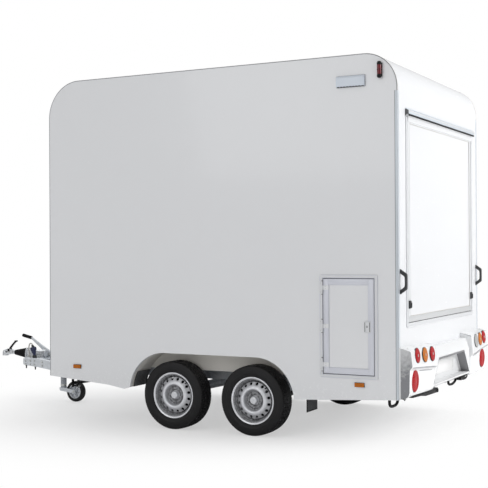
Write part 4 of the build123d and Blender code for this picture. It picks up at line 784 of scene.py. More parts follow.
def addHatch(name, width, body, place):
    s = hatchSet
    half, low, high = width / 2 - s["gap"], s["low"] + s["gap"], s["high"] - s["gap"]
    field, face = half - s["border"], -s["leafProud"]

    def done(title, bm, finish, rider="trailer"):
        addPiece(f"{name}_hatch_{title}", turned(bm, place), finish, rider, angle=40)

    bm = bmesh.new()  # the border: a deep low rail and narrow sides
    addBox(bm, (face - 0.0016, -half, low), (face + 0.0003, half, low + 0.0090), 0.0008)
    addBox(bm, (face - 0.0008, -half + 0.001, low + 0.0088), (face + 0.0003, half - 0.001, low + 0.0420),
           0.0004)
    addBox(bm, (face - 0.0014, -half, low + 0.0418), (face + 0.0003, half, low + s["border"] - 0.0002),
           0.0006)
    for side in (-1, 1):
        for a, b, rise in ((half - 0.0075, half, 0.0016), (field + 0.0005, field + 0.0085, 0.0012)):
            addBox(bm, (face - rise, side * a, low + 0.008), (face + 0.0003, side * b, high - 0.034),
                   0.0006)
    done("border", bm, "hatch_trim", body)
    bm = bmesh.new()  # the bead that holds the panel
    addBars(bm, -field, field, low + s["border"], high - s["border"], 0.0040, -0.0024, 0.0003, 0.0009)
    done("glazing_bead", bm, "pale_seal", body)
    bm = bmesh.new()  # the lip seal in the gap to the wall
    gap = s["gap"] - 0.001
    addBox(bm, (0.004, -half - gap, low - gap), (0.012, half + gap, low - 0.0008), 0.0008)
    for side in (-1, 1):
        addBox(bm, (0.004, side * (half + 0.0008), low - gap), (0.012, side * (half + gap), high), 0.0008)
    done("lip_seal", bm, "black_rubber")
    bm = bmesh.new()  # beads along both edges of the wall frame
    out, foot = width / 2 + s["band"], s["low"] - s["band"]
    proud = -s["trimProud"]
    for side in (-1, 1):
        for a, b in ((out - 0.0065, out - 0.0005), (out - s["band"] + 0.0004, out - s["band"] + 0.0055)):
            addBox(bm, (proud - 0.0014, side * a, foot + (0.018 if a > width / 2 + 0.01
                                                          else s["band"] - 0.0055)),
                   (proud + 0.0003, side * b, high - 0.02), 0.0007)
    addBox(bm, (proud - 0.0014, -width / 2, s["low"] - 0.0055),
           (proud + 0.0003, width / 2, s["low"] - 0.0004), 0.0007)
    addBox(bm, (proud - 0.0014, -out + 0.018, foot + 0.0005), (proud + 0.0003, out - 0.018, foot + 0.0065),
           0.0007)
    done("frame_beads", bm, "body_white")
    bm = bmesh.new()  # the hinge rail's rubber, end caps and screws
    top, deep = s["high"] + s["railHeight"], s["railDepth"]
    addBox(bm, (-deep - 0.0018, -out, s["high"] + 0.0005), (-deep + 0.0004, out, s["high"] + 0.0150),
           0.0008)
    done("rail_rubber", bm, "black_rubber")
    bm = bmesh.new()
    addBox(bm, (-deep - 0.0014, -out, s["high"] + 0.0150), (-deep + 0.0004, out, s["high"] + 0.0330),
           0.0010)
    addBox(bm, (-0.012, -out, top - 0.0006), (0.0, out, top + 0.0085), 0.0014)
    done("rail_strip", bm, "blue_strip")
    bm = bmesh.new()
    for side in (-1, 1):
        points = [(0, s["high"] - 0.001), (0, top + 0.0008), (-deep / 3, top + 0.0008),
                  (-deep - 0.0012, top - deep / 3), (-deep - 0.0012, s["high"] + 0.0135),
                  (-0.014, s["high"] + 0.0135)]
        addSlab(bm, [(x, side * out, z) for x, z in points], (0, side * 0.003, 0), 0.0007)
    done("rail_caps", bm, "cap_grey")
    bm = bmesh.new()
    count = round(width / 0.2)
    for i in range(count + 1):
        y = -out + 0.04 + (2 * out - 0.08) * i / count
        addScrew(bm, (-deep, y, top - 0.0125), (-1, 0, 0), 0.0030)
    for i in range(6):
        z = low + 0.09 + (high - low - 0.2) * i / 5
        for side in (-1, 1):
            addScrew(bm, (proud, side * (width / 2 + s["band"] / 2), z), (-1, 0, 0), 0.0036)
    done("screws", bm, "zinc_head")
    wide, tall, deepLatch = s["latch"]
    bm = bmesh.new()
    for side in (-1, 1):
        y, z = side * (half - wide / 2), s["low"] + s["latchAbove"] + tall / 2
        x = face - deepLatch
        addBox(bm, (x - 0.001, y - wide / 2 + 0.003, z - tall / 2 + 0.003),
               (face + 0.0004, y + wide / 2 - 0.003, z + tall / 2 - 0.003), 0.004, 3)
        addSpin(bm, [(-0.001, 0.0150), (0.0012, 0.0145), (0.0020, 0.0125), (0.0020, 0.0)], (x, y, z),
                (-1, 0, 0), 32)
        addBox(bm, (x - 0.0092, y - 0.0048, z - 0.024), (x - 0.0012, y + 0.0048, z + 0.016), 0.003, 3)
    done("latch_handles", bm, "black_plastic", body)


doorSet = {"gap": 0.006, "border": 0.045, "leafProud": 0.004, "band": 0.026, "trimProud": 0.006,
           "hingeOut": 0.0135, "hingeOver": 0.002, "knuckleLength": 0.034}
doors = [{"name": "service", "width": 0.430, "low": 0.548, "high": 1.296, "body": "service_door_leaf",
          "place": Matrix.Translation((bodySet["rear"] + 0.405, bodySet["side"],
                                       0)) @ Matrix.Rotation(math.radians(-90), 4, "Z")},
         {"name": "entry", "width": 0.650, "low": 0.572, "high": 2.460, "body": "entry_door_leaf",
          "place": Matrix.Translation((bodySet["front"], -0.62, 0)) @ Matrix.Rotation(math.radians(180), 4,
        "Z")}]


def addDoor(name, width, low, high, body, place):
    s = doorSet
    half, face, proud = width / 2 - s["gap"], -s["leafProud"], -s["trimProud"]
    lowLeaf, highLeaf = low + s["gap"], high - s["gap"]
    field = half - s["border"]

    def done(title, bm, finish, rider="trailer"):
        addPiece(f"{name}_door_{title}", turned(bm, place), finish, rider, angle=40)

    bm = bmesh.new()
    addBars(bm, -half, half, lowLeaf, highLeaf, 0.0060, face - 0.0018, face + 0.0003)
    addBars(bm, -half + 0.0058, half - 0.0058, lowLeaf + 0.0058, highLeaf - 0.0058, s["border"] - 0.0120,
            face - 0.0009, face + 0.0003, 0.0004)
    addBars(bm, -field - 0.0065, field + 0.0065, lowLeaf + s["border"] - 0.0065,
            highLeaf - s["border"] + 0.0065, 0.0062, face - 0.0015, face + 0.0003)
    done("border", bm, "door_trim", body)
    bm = bmesh.new()
    addBars(bm, -field, field, lowLeaf + s["border"], highLeaf - s["border"], 0.0040, -0.0022, 0.0003,
            0.0009)
    done("glazing_bead", bm, "door_trim", body)
    bm = bmesh.new()
    addBars(bm, -width / 2 + 0.0003, width / 2 - 0.0003, low + 0.0003, high - 0.0003, s["gap"] - 0.0008,
            0.004, 0.012, 0.0008)
    done("lip_seal", bm, "blue_rubber")
    bm = bmesh.new()
    out = width / 2 + s["band"]
    addBars(bm, -width / 2 - 0.0048, width / 2 + 0.0048, low - 0.0048, high + 0.0048, 0.0045,
            proud - 0.0013, proud + 0.0003, 0.0006)
    for side in (-1, 1):
        addBox(bm, (proud - 0.0013, side * (out - 0.0055), low - s["band"] + 0.014),
               (proud + 0.0003, side * (out - 0.0005), high + s["band"] - 0.014), 0.0006)
    addBox(bm, (proud - 0.0013, -out + 0.014, low - s["band"] + 0.0005),
           (proud + 0.0003, out - 0.014, low - s["band"] + 0.0055), 0.0006)
    addBox(bm, (proud - 0.0013, -out + 0.014, high + s["band"] - 0.0055),
           (proud + 0.0003, out - 0.014, high + s["band"] - 0.0005), 0.0006)
    done("frame_beads", bm, "door_trim")
    bm, screws = bmesh.new(), bmesh.new()  # rounded covers on the hinges and their screws
    axisY, margin = width / 2 + s["hingeOver"], (high - low) * 0.1
    for z in (low + margin, (low + high) / 2, high - margin):
        for end in (-1, 1):
            foot = z + end * s["knuckleLength"] * 1.5
            addSpin(bm, [(-0.001, 0.0068), (0.0016, 0.0064), (0.0030, 0.0046), (0.0036, 0.0)],
                    (-s["hingeOut"], axisY, foot), (0, 0, end), 24)
            addScrew(screws, (proud - 0.004, axisY + 0.0145, z + end * 0.034), (-1, 0, 0), 0.0033)
            addScrew(screws, (face - 0.004, axisY - 0.028, z + end * 0.009), (-1, 0, 0), 0.0033)
    done("hinge_caps", bm, "black_plastic")
    addPiece(f"{name}_door_screws", turned(screws, place), "zinc_head")


lockSet = {"plate": (-2.0663, 0.922), "half": (0.026, 0.043), "face": 1.104, "rise": 0.007}


def addServiceLock():
    s = lockSet
    x, z = s["plate"]
    wide, tall, y = *s["half"], s["face"]
    bm = bmesh.new()
    addBox(bm, (x - wide, y - 0.0006, z - tall), (x + wide, y + 0.0045, z + tall), 0.003, 3)
    addBox(bm, (x - wide + 0.009, y + 0.003, z - tall + 0.009),
           (x + wide - 0.009, y + 0.0072, z + tall - 0.009), 0.0022, 3)
    addSpin(bm, [(0.0, 0.0125), (0.0022, 0.0122), (0.0030, 0.0110), (0.0022, 0.0085), (0.0022, 0.0)],
            (x, y + 0.0062, z + 0.004), (0, 1, 0), 36)
    addPiece("service_lock_plate", bm, "trim_aluminium", "service_door_leaf", replaced="service_door_lock")
    bm = bmesh.new()
    # black bars in the grooves beside the plate's boss paint its shadow outline
    for side in (-1, 1):
        addBox(bm, (x + side * (wide - 0.0085), y + 0.0036, z - tall + 0.006),
               (x + side * (wide - 0.0045), y + 0.0054, z + tall - 0.006), 0.0006)
    corners = [(-0.0032, -0.0075), (0.0032, -0.0075), (0.0032, 0.0075), (-0.0032, 0.0075)]
    addSlab(bm, [(x + a, y + 0.0080, z + 0.004 + b) for a, b in corners], (0, 0.0008, 0))
    addPiece("service_lock_keyhole_and_shadow", bm, "black_plastic", "service_door_leaf")


def addEntryHandle():
    low, high = box("entry_door_handle")
    y, lowZ, highZ = (low.y + high.y) / 2, low.z, high.z
    bm = bmesh.new()
    path = [(low.x, y, lowZ + 0.010), (high.x - 0.009, y, lowZ + 0.016), (high.x - 0.009, y, highZ - 0.016),
            (low.x, y, highZ - 0.010)]
    addSweep(bm, soften(path, 0.3, 6), circle(0.0085, 20), (0, 1, 0))
    for z in (lowZ + 0.010, highZ - 0.010):
        addSpin(bm, [(-0.0003, 0.0125), (0.0028, 0.0125), (0.0042, 0.0105), (0.0042, 0.0)], (low.x, y, z),
                (1, 0, 0), 32)
    addPiece("entry_handle_bow", bm, "black_plastic", "entry_door_leaf", replaced="entry_door_handle")
    bm = bmesh.new()
    addBox(bm, (low.x - 0.0003, y - 0.019, lowZ - 0.105), (low.x + 0.007, y + 0.019, lowZ - 0.035), 0.0035,
           3)
    addSpin(bm, [(0.0, 0.0115), (0.0016, 0.0112), (0.0024, 0.0100), (0.0016, 0.0080), (0.0016, 0.0)],
            (low.x + 0.0068, y, lowZ - 0.070), (1, 0, 0), 32)
    addBox(bm, (low.x + 0.0080, y - 0.0011, lowZ - 0.0765), (low.x + 0.0092, y + 0.0011, lowZ - 0.0635))
    addPiece("entry_lock", bm, "black_plastic", "entry_door_leaf")


handleSet = {"z": 1.271, "y": 1.054, "half": 0.0955, "grip": 0.060, "depth": 0.054, "bar": 0.016,
             "width": 0.024}


def addGrabHandles():
    s = handleSet
    wall = bodySet["rear"]
    for side, sign in sides:
        deep, grip, half, bar = s["depth"], s["grip"], s["half"], s["bar"]
        outer = soften(mirrored([(0, -half), (-deep * 0.93, -grip), (-deep, -grip + 0.010)]), 0.3, 3)
        inner = [(0, -half + 0.031), (-deep + bar + 0.012, -grip + 0.013), (-deep + bar, -grip + 0.024)]
        inner = soften(mirrored(inner), 0.35, 3)
        y = sign * s["y"] - s["width"] / 2
        bm = bmesh.new()
        addLoft(bm, [[(wall + x, y + across, s["z"] + z) for x, z, across in (
            (*a, 0), (*a, s["width"]), (*b, s["width"]), (*b, 0))] for a, b in zip(outer, inner)])
        replaced = "grab_handles" if side == "left" else None
        addPiece(f"grab_handle_{side}", bm, "black_plastic", angle=50, replaced=replaced)
        bm = bmesh.new()
        for end in (-1, 1):
            addScrew(bm, (wall - 0.0085, y + s["width"] / 2, s["z"] + end * (s["half"] - 0.012)),
                     (-0.78, 0, end * 0.62), 0.0042, 0.0022)
        addPiece(f"grab_handle_screws_{side}", bm, "zinc_head")


def addVent():
    low, high = box("vent_cover")
    high.z -= 0.026
    bm = bmesh.new()
    points = [(low.y, high.z), (low.y + 0.010, high.z), (high.y, high.z - 0.016), (high.y, low.z + 0.014),
              (high.y - 0.004, low.z + 0.004), (low.y, low.z)]
    line = soften(points + points[:1], 0.22, 3)[:-1]
    addSlab(bm, [(low.x, y, z) for y, z in line], (high.x - low.x, 0, 0), 0.0016)
    addPiece("vent_hood", bm, "vent_white", angle=40, replaced="vent_cover")
    bm = bmesh.new()
    for i in range(9):
        x = low.x + 0.016 + (high.x - low.x - 0.032) * i / 8
        addBox(bm, (x - 0.0085, low.y + 0.0035, low.z - 0.0012),
               (x + 0.0085, high.y - 0.007, low.z + 0.0045), 0.0008)
    addPiece("vent_slots", bm, "black_plastic")
    bm = bmesh.new()
    addBars(bm, low.x - 0.003, high.x + 0.003, low.z - 0.003, high.z + 0.003, 0.004, -0.0012, 0.0006,
            0.0004)
    turned(bm, Matrix.Translation((0, low.y, 0)) @ Matrix(((0, 1, 0, 0), (-1, 0, 0, 0), (0, 0, 1, 0),
                                                           (0, 0, 0, 1))))
    addPiece("vent_seal", bm, "grey_rubber")


def addOutlineLamps():
    low, high = box("outline_lamps")
    x, z, half = (low.x + high.x) / 2 + 0.007, (low.z + high.z) / 2, (high.z - low.z) / 2
    for side, sign in sides:
        wall, far = bodySet["side"], high.y
        center = Vector((x, sign * (far - 0.0175), z))
        bm = bmesh.new()
        addBox(bm, (x - 0.017, sign * (wall - 0.0006), z - 0.052),
               (x + 0.017, sign * (wall + 0.005), z + 0.052), 0.0024, 3)
        addBox(bm, (x - 0.009, sign * (wall + 0.003), z - 0.036),
               (x + 0.009, sign * (far - 0.020), z + 0.036), 0.003, 3)
        for end in (-1, 1):
            profile = [(half * 0.55, 0.0168), (half * 0.60, 0.0178), (half * 0.78, 0.0176),
                       (half * 0.93, 0.0140), (half * 0.99, 0.0075), (half, 0.0)]
            addSpin(bm, soften(profile, 0.3, 2), center, (0, 0, end), 32)
        addSpin(bm, [(-0.0022, 0.0177), (0.0, 0.0180), (0.0022, 0.0177)], center, (0, 0, 1), 32)
        replaced = "outline_lamps" if side == "left" else None
        addPiece(f"outline_lamp_rubber_{side}", bm, "black_rubber", replaced=replaced)
        bm = bmesh.new()
        profile = [(-half * 0.62, 0.0150), (-half * 0.60, 0.0160)]
        profile += [(half * (-0.56 + 0.07 * i), 0.0164 if i % 2 else 0.0169)
                    for i in range(17)] + [(half * 0.60, 0.0160), (half * 0.62, 0.0150)]
        addSpin(bm, profile, center, (0, 0, 1), 32)
        addPiece(f"outline_lamp_lens_{side}", bm, "lens_dark", angle=60)


def addSideMarkers():
    half = (0.041, 0.0175)
    places = [(bodySet["rear"] + 0.316, 0.477), (bodySet["front"] - 0.302, 0.496)]
    base, lens = bmesh.new(), bmesh.new()
    for x, z in places:
        for sign in (1, -1):
            wall = bodySet["side"]
            for bm, grow, start, end, bevel in ((base, 0.0, -0.0004, 0.0060, 0.0018),
                                                (lens, -0.0022, 0.0040, 0.0152, 0.0034)):
                addBox(bm, (x - half[0] - grow, sign * (wall + start), z - half[1] - grow),
                       (x + half[0] + grow, sign * (wall + end), z + half[1] + grow), bevel, 3)
            for i in range(7):
                ridge = x - 0.030 + 0.010 * i
                addBox(lens, (ridge - 0.0018, sign * (wall + 0.0148), z - 0.0115),
                       (ridge + 0.0018, sign * (wall + 0.0160), z + 0.0115), 0.0006)
    addPiece("side_marker_lenses", lens, "lens_amber", replaced="side_markers")
    addPiece("side_marker_bases", base, "black_rubber")


addBodyEdges()
for hatch in hatches:
    addHatch(**hatch)
for door in doors:
    addDoor(**door)
addServiceLock()
addEntryHandle()
addGrabHandles()
addVent()
addOutlineLamps()
addSideMarkers()
print("stage: body")

# rear moulding, its lamps and the number plate
bumperSet = {"wrap": [(0.52, -0.012), (0.64, -0.012), (0.795, -0.003), (0.95, 0.006), (1.10, 0.0)],
             "corner": 0.009, "inner": 0.012, "ledge": [(0.52, 0.588), (1.10, 0.630)],
             "step": [(0.52, 0.026), (0.95, 0.027), (1.10, 0.021)], "podInner": 0.52, "middleTop": 0.728,
             "recessLow": 0.434, "recessHigh": 0.634, "recessTop": 0.360, "recessWide": 0.515,
             "recessBack": -0.008}


def podSection(y, shrink=0.0, sign=1):
    s = bumperSet
    push = along(s["wrap"], y) + shrink
    ledge = along(s["ledge"], y)
    step = along(s["step"], y)
    points = [(0, 0.772 - shrink * 0.3), (-0.096 + push, 0.750 - shrink * 0.3), (-0.110 + push, ledge),
              (-0.110 + step + push, ledge - step), (-0.106 + step + push, 0.430),
              (-0.070 + push, 0.398 + shrink * 0.3), (0, 0.385 + shrink * 0.3)]
    return [(bodySet["rear"] + x, sign * y, z) for x, z in rounded(points, 0.012, 4, False)]


def middleSection(y):
    s = bumperSet
    deep = abs(y) < s["recessWide"]
    share = min(1.0, max(0.0, (s["recessWide"] - abs(y)) / (s["recessWide"] - s["recessTop"])))
    high = s["recessLow"] + (s["recessHigh"] - s["recessLow"]) * share
    back = s["recessBack"] if deep else -0.080
    points = [(0, s["middleTop"]), (-0.050, s["middleTop"]), (-0.058, s["middleTop"] - 0.006),
              (-0.0795, 0.650), (-0.086, 0.640), (-0.086, high + 0.005), (-0.082, high),
              (back - 0.006, high - 0.001), (back, high - 0.006), (back, s["recessLow"] + 0.004),
              (back - 0.004, s["recessLow"]), (-0.083, s["recessLow"] - 0.001),
              (-0.086, s["recessLow"] - 0.004), (-0.086, 0.427), (-0.080, 0.417), (0, 0.402)]
    if not deep:
        points[5:13] = [(-0.086, s["recessLow"] + 0.001 - 0.0003 * i) for i in range(8)]
    return [(bodySet["rear"] + x, y, z) for x, z in points]


def addBumper():
    s = bumperSet
    bm = bmesh.new()
    for sign in (1, -1):
        stations = []
        for i in range(7):
            gap = s["corner"] * (1 - math.cos(math.radians(15 * i)))
            stations.append((bodySet["side"] - gap,
                             s["corner"] - math.sqrt(s["corner"] ** 2 - (s["corner"] - gap) ** 2)))
        stations += [(1.06 - 0.03 * i, 0.0) for i in range(18)]
        for i in range(5):
            turn = math.radians(90 - 22.5 * i)
            stations.append((s["podInner"] + s["inner"] * (1 - math.cos(turn)),
                             s["inner"] * (1 - math.sin(turn))))
        addLoft(bm, [podSection(y, shrink, sign) for y, shrink in stations])
    wide, top = s["recessWide"], s["recessTop"]  # the middle between the pods
    half = [0.5225, wide + 0.010, wide + 0.0004, wide - 0.0004, wide - 0.03, wide - 0.06, top + 0.03,
            top + 0.003, top - 0.003, top - 0.03, 0.15]
    addLoft(bm, [middleSection(y) for y in [-y for y in half] + [0.0] + list(reversed(half))])
    addPiece("rear_moulding", bm, "bumper_white", angle=50, merge=2e-5, replaced="rear_bumper")
    bm = bmesh.new()  # grey panels on the ends of the moulding that paint shade, darker towards the bottom
    for sign in (1, -1):
        y = sign * (bodySet["side"] - 0.0004)
        line = podSection(bodySet["side"], 0.003, sign)
        addSlab(bm, [(min(x, bodySet["rear"] - 0.014), y, z) for x, _, z in line], (0, sign * 0.0016, 0))
    addPiece("end_shade_panels", bm, "painted_end_shade")
    rear = bodySet["rear"]
    bm = bmesh.new()  # grey panels that paint shade on the recess's sides, under its top lip and on the pods' inner ends
    low, high, top, wide = s["recessLow"], s["recessHigh"], s["recessTop"], s["recessWide"]
    for sign in (1, -1):
        corners = [(-0.0855, wide - 0.0012, low + 0.001), (-0.0855, top - 0.001, high - 0.0015),
                   (-0.0085, top - 0.001, high - 0.0015), (-0.0085, wide - 0.0012, low + 0.001)]
        addSlab(bm, [(rear + x, sign * y, z) for x, y, z in corners], (0, -sign * 0.0012, -0.0006))
    # a dark strip under the recess's top lip: a painted shadow
    addBox(bm, (rear - 0.0868, -top - 0.004, high - 0.0125), (rear - 0.0700, top + 0.004, high - 0.0004),
           0.0016)
    addPiece("recess_shade_panels", bm, "painted_shade_grey")
    # pale grey panels on the pods' inner ends: painted shade
    bm = bmesh.new()
    for sign in (1, -1):
        line = [p for p in podSection(s["podInner"], s["inner"] * 0.35, sign) if p[2] > 0.60]
        addSlab(bm, [(x, sign * (s["podInner"] + 0.0006), z) for x, _, z in line], (0, -sign * 0.0014, 0))
    addPiece("pod_shade_panels", bm, "painted_shade_pale")
    bm = bmesh.new()  # dark grey lines under the ledges that paint the ledges' shadow
    for sign in (1, -1):
        for start, end, drop, back in ((1.078, 0.560, 0.0015, 0.0006), (0.860, 0.600, 0.030, 0.0244)):
            line = []
            for i in range(12):
                y = start + (end - start) * i / 11
                line.append((rear - 0.110 + along(s["wrap"], y) + back, sign * y,
                             along(s["ledge"], y) - drop - (0.004 if drop < 0.01 else 0.0)))
            addSweep(bm, line, circle(0.0024, 8), (1, 0, 0))
    addPiece("ledge_shadow_lines", bm, "grey_rubber")
    bm = bmesh.new()
    for x, y, z in [(rear - 0.045, sign * y, 0.7625) for sign in (1, -1) for y in (1.03, 0.87, 0.71, 0.56)]:
        addScrew(bm, (x, y, z), (-0.25, 0, 1), 0.006, 0.003)
    for y in (-0.40, 0.0, 0.40):
        addScrew(bm, (rear - 0.030, y, s["middleTop"] - 0.0003), (0, 0, 1), 0.006, 0.003)
    addPiece("moulding_screws", bm, "zinc_head")


roundLamps = {"y": (0.950, 0.795, 0.640), "z": (0.706, 0.699, 0.694), "base": 0.0590, "lens": 0.0565,
              "tilt": (-0.994, 0.0, 0.112), "lowY": 0.958, "lowZ": 0.512, "lowBase": 0.0865,
              "lowLens": 0.0838}
lampColours = {1: ("red", "amber", "red"), -1: ("red", "amber", "clear")}


def lampPlace(y, z, sign):  # on the sloping face of the moulding
    face = along([(along(bumperSet["ledge"], y), -0.110), (0.750, -0.096)], z)
    push = along(bumperSet["wrap"], y)
    return Vector((bodySet["rear"] + face + push + 0.0004, sign * y, z))


def lensProfile(radius, rise, ridges):
    points = [(0.0, radius), (rise * 0.45, radius), (rise * 0.62, radius * 0.985),
              (rise * 0.74, radius * 0.95)]
    for i in range(ridges):
        at = 0.90 - 0.60 * i / ridges
        top = rise * (0.80 + 0.20 * (1 - at ** 2))
        points += [(top, radius * at), (top - 0.0007, radius * (at - 0.30 / ridges))]
    return points + [(rise, radius * 0.24), (rise * 1.02, 0.0)]


def addRoundLamps():
    lenses = {key: bmesh.new() for key in ("red", "amber", "clear")}
    bezels, bulbs = bmesh.new(), bmesh.new()
    s = roundLamps
    for sign in (1, -1):
        for y, z, colour in zip(s["y"], s["z"], lampColours[sign]):
            tilt = Vector(s["tilt"])
            place = lampPlace(y, z, sign)
            ring = [(-0.004, s["base"]), (0.0035, s["base"]), (0.0052, s["base"] - 0.0008),
                    (0.0052, s["lens"] + 0.0004), (0.0, s["lens"] - 0.0005)]
            addSpin(bezels, ring, place, tilt, 64)
            addSpin(lenses[colour], lensProfile(s["lens"] - 0.0006, 0.0100, 5), place, tilt, 64)
            addSpin(bulbs, [(0.0098, 0.0105), (0.0116, 0.0095), (0.0122, 0.0060), (0.0123, 0.0)], place,
                    tilt, 32)
        wide, lens = s["lowBase"], s["lowLens"]  # the large lamp below the step
        x = bodySet["rear"] - 0.1074 + sum(along(bumperSet[key], 0.95) for key in ("step", "wrap"))
        place, tilt = Vector((x, sign * s["lowY"], s["lowZ"])), Vector((-1, 0, 0))
        ring = [(-0.008, wide), (0.0030, wide), (0.0048, wide - 0.001), (0.0048, lens + 0.0004),
                (0.0, lens)]
        addSpin(bezels, ring, place, tilt, 80)
        addSpin(lenses["red"], lensProfile(lens, 0.0125, 8), place, tilt, 80)
    for colour, node in (("red", "lamps_red"), ("amber", "lamps_amber"), ("clear", "lamp_clear")):
        addPiece(f"round_lens_{colour}", lenses[colour], f"lens_{colour}", angle=28, replaced=node)
    addPiece("lamp_bezels", bezels, "black_plastic", angle=30)
    addPiece("lamp_centres", bulbs, "lens_clear", angle=30)


def addPlate():
    low, high = box("number_plate")
    back = bodySet["rear"] + bumperSet["recessBack"]
    bm = bmesh.new()
    addBox(bm, (back - 0.004, low.y, low.z), (back - 0.0012, high.y, high.z), 0.0008)
    addBars(bm, low.y, high.y, low.z, high.z, 0.0035, back - 0.0056, back - 0.0036, 0.0008)
    addPiece("plate_blank_panel", bm, "plate_blank", replaced="number_plate")
    bm = bmesh.new()
    for y in (-0.13, 0.13):  # lamps over the plate
        addBox(bm, (back - 0.040, y - 0.026, 0.612), (back - 0.004, y + 0.026, 0.6325), 0.005, 3)
    addPiece("plate_lamps", bm, "black_plastic")
    bm = bmesh.new()
    for y in (-0.13, 0.13):
        addBox(bm, (back - 0.036, y - 0.020, 0.6100), (back - 0.010, y + 0.020, 0.6130), 0.0014)
    addPiece("plate_lamp_lenses", bm, "lens_clear")


addBumper()
addRoundLamps()
addPlate()
print("stage: rear moulding and lamps")

# drawbar, overrun coupling, hand brake, plug, jockey wheel
drawbarSet = {"stations": [(0.2647, 0.305, 0.400), (0.975, 0.309, 0.400), (1.10, 0.318, 0.406),
                           (1.80, 0.346, 0.432), (2.043, 0.347, 0.419), (2.069, 0.353, 0.415),
                           (2.078, 0.364, 0.409)], "frontX": 2.078, "frontY": 0.098, "slope": 0.3815,
              "half": 0.025, "plates": (1.6571, 1.8737), "plateLow": 0.337, "plate": 0.010,
              "bolts": (2.020, 1.935, 1.860, 1.72, 1.30, 1.12), "studs": (2.040, 1.874),
              "topPlate": (1.835, 2.066)}


def beamY(x):
    return drawbarSet["frontY"] + drawbarSet["slope"] * (drawbarSet["frontX"] - x)


def addBolt(bm, foot, axis, across=0.017, height=0.008, washer=0.011):
    profile = [(-0.0004, washer), (0.0018, washer), (0.0022, washer * 0.9), (0.0022, 0.0)]
    addSpin(bm, profile, foot, axis, 24)
    addHex(bm, Vector(foot) + Vector(axis).normalized() * 0.002, axis, across, height)


def addDrawbar():
    s = drawbarSet
    half = s["half"]
    bm, bolts, studs = bmesh.new(), bmesh.new(), bmesh.new()
    for sign in (1, -1):
        rings = []
        for x, low, high in s["stations"]:
            y = beamY(x)
            shrink = 0.006 if x > 2.07 else 0.0
            corners = [(y - half + shrink, low), (y + half - shrink, low), (y + half - shrink, high),
                       (y - half + shrink, high)]
            rings.append([(x, sign * a, b) for a, b in rounded(corners, 0.006)])
        addLoft(bm, rings)
        for x in s["bolts"]:
            for drop in (0.026, 0.062):
                top = along([(a, c) for a, _, c in s["stations"]], x)
                addBolt(bolts, (x, sign * (beamY(x) + half), top - drop), (s["slope"], sign, 0), 0.015,
                        0.007, 0.0105)
        for x in s["studs"]:  # studs under the front end
            addRod(studs, (x, sign * beamY(x), 0.350), (x, sign * beamY(x), 0.314), 0.0062, None, 16,
                   0.0010)
            addHex(studs, (x, sign * beamY(x), 0.3460), (0, 0, -1), 0.018, 0.009)
    for x in s["plates"]:
        wide = beamY(x) - half + 0.004
        addBox(bm, (x, -wide, s["plateLow"]), (x + s["plate"], wide, 0.412), 0.0016)
        addBox(bm, (x - 0.045, -wide, 0.4065), (x + s["plate"], wide, 0.4145), 0.0016)
    x0, x1 = s["topPlate"]  # the plate that the housing stands on
    points = mirrored([(x0, beamY(x0) + 0.012), (x1, beamY(x1) + 0.012), (x1 + 0.012, 0.060)])
    addSlab(bm, [(x, y, 0.4125) for x, y in points], (0, 0, 0.0085), 0.0016)
    # the beams take the paler copy of the galvanised finish, which paints the light falling on them
    addPiece("drawbar_beams", bm, "galvanised_lit", replaced="drawbar")
    addPiece("beam_studs", studs, "black_steel")
    addPiece("drawbar_bolts", bolts, "zinc_head")


housingSet = {"z": 0.462, "rear": 1.8737, "front": 2.100, "tube": 0.033,
              "flange": [(-0.050, 0.421), (0.050, 0.421), (0.050, 0.470), (0.034, 0.508), (-0.034, 0.508),
                         (-0.050, 0.470)], "nipple": [(0, 0.0055), (0.004, 0.0055), (0.005, 0.0032),
                                                      (0.009, 0.0030), (0.011, 0.0042), (0.014, 0.0026),
                                                      (0.0145, 0.0)], "bellows": (2.108, 2.272), "folds": 9}


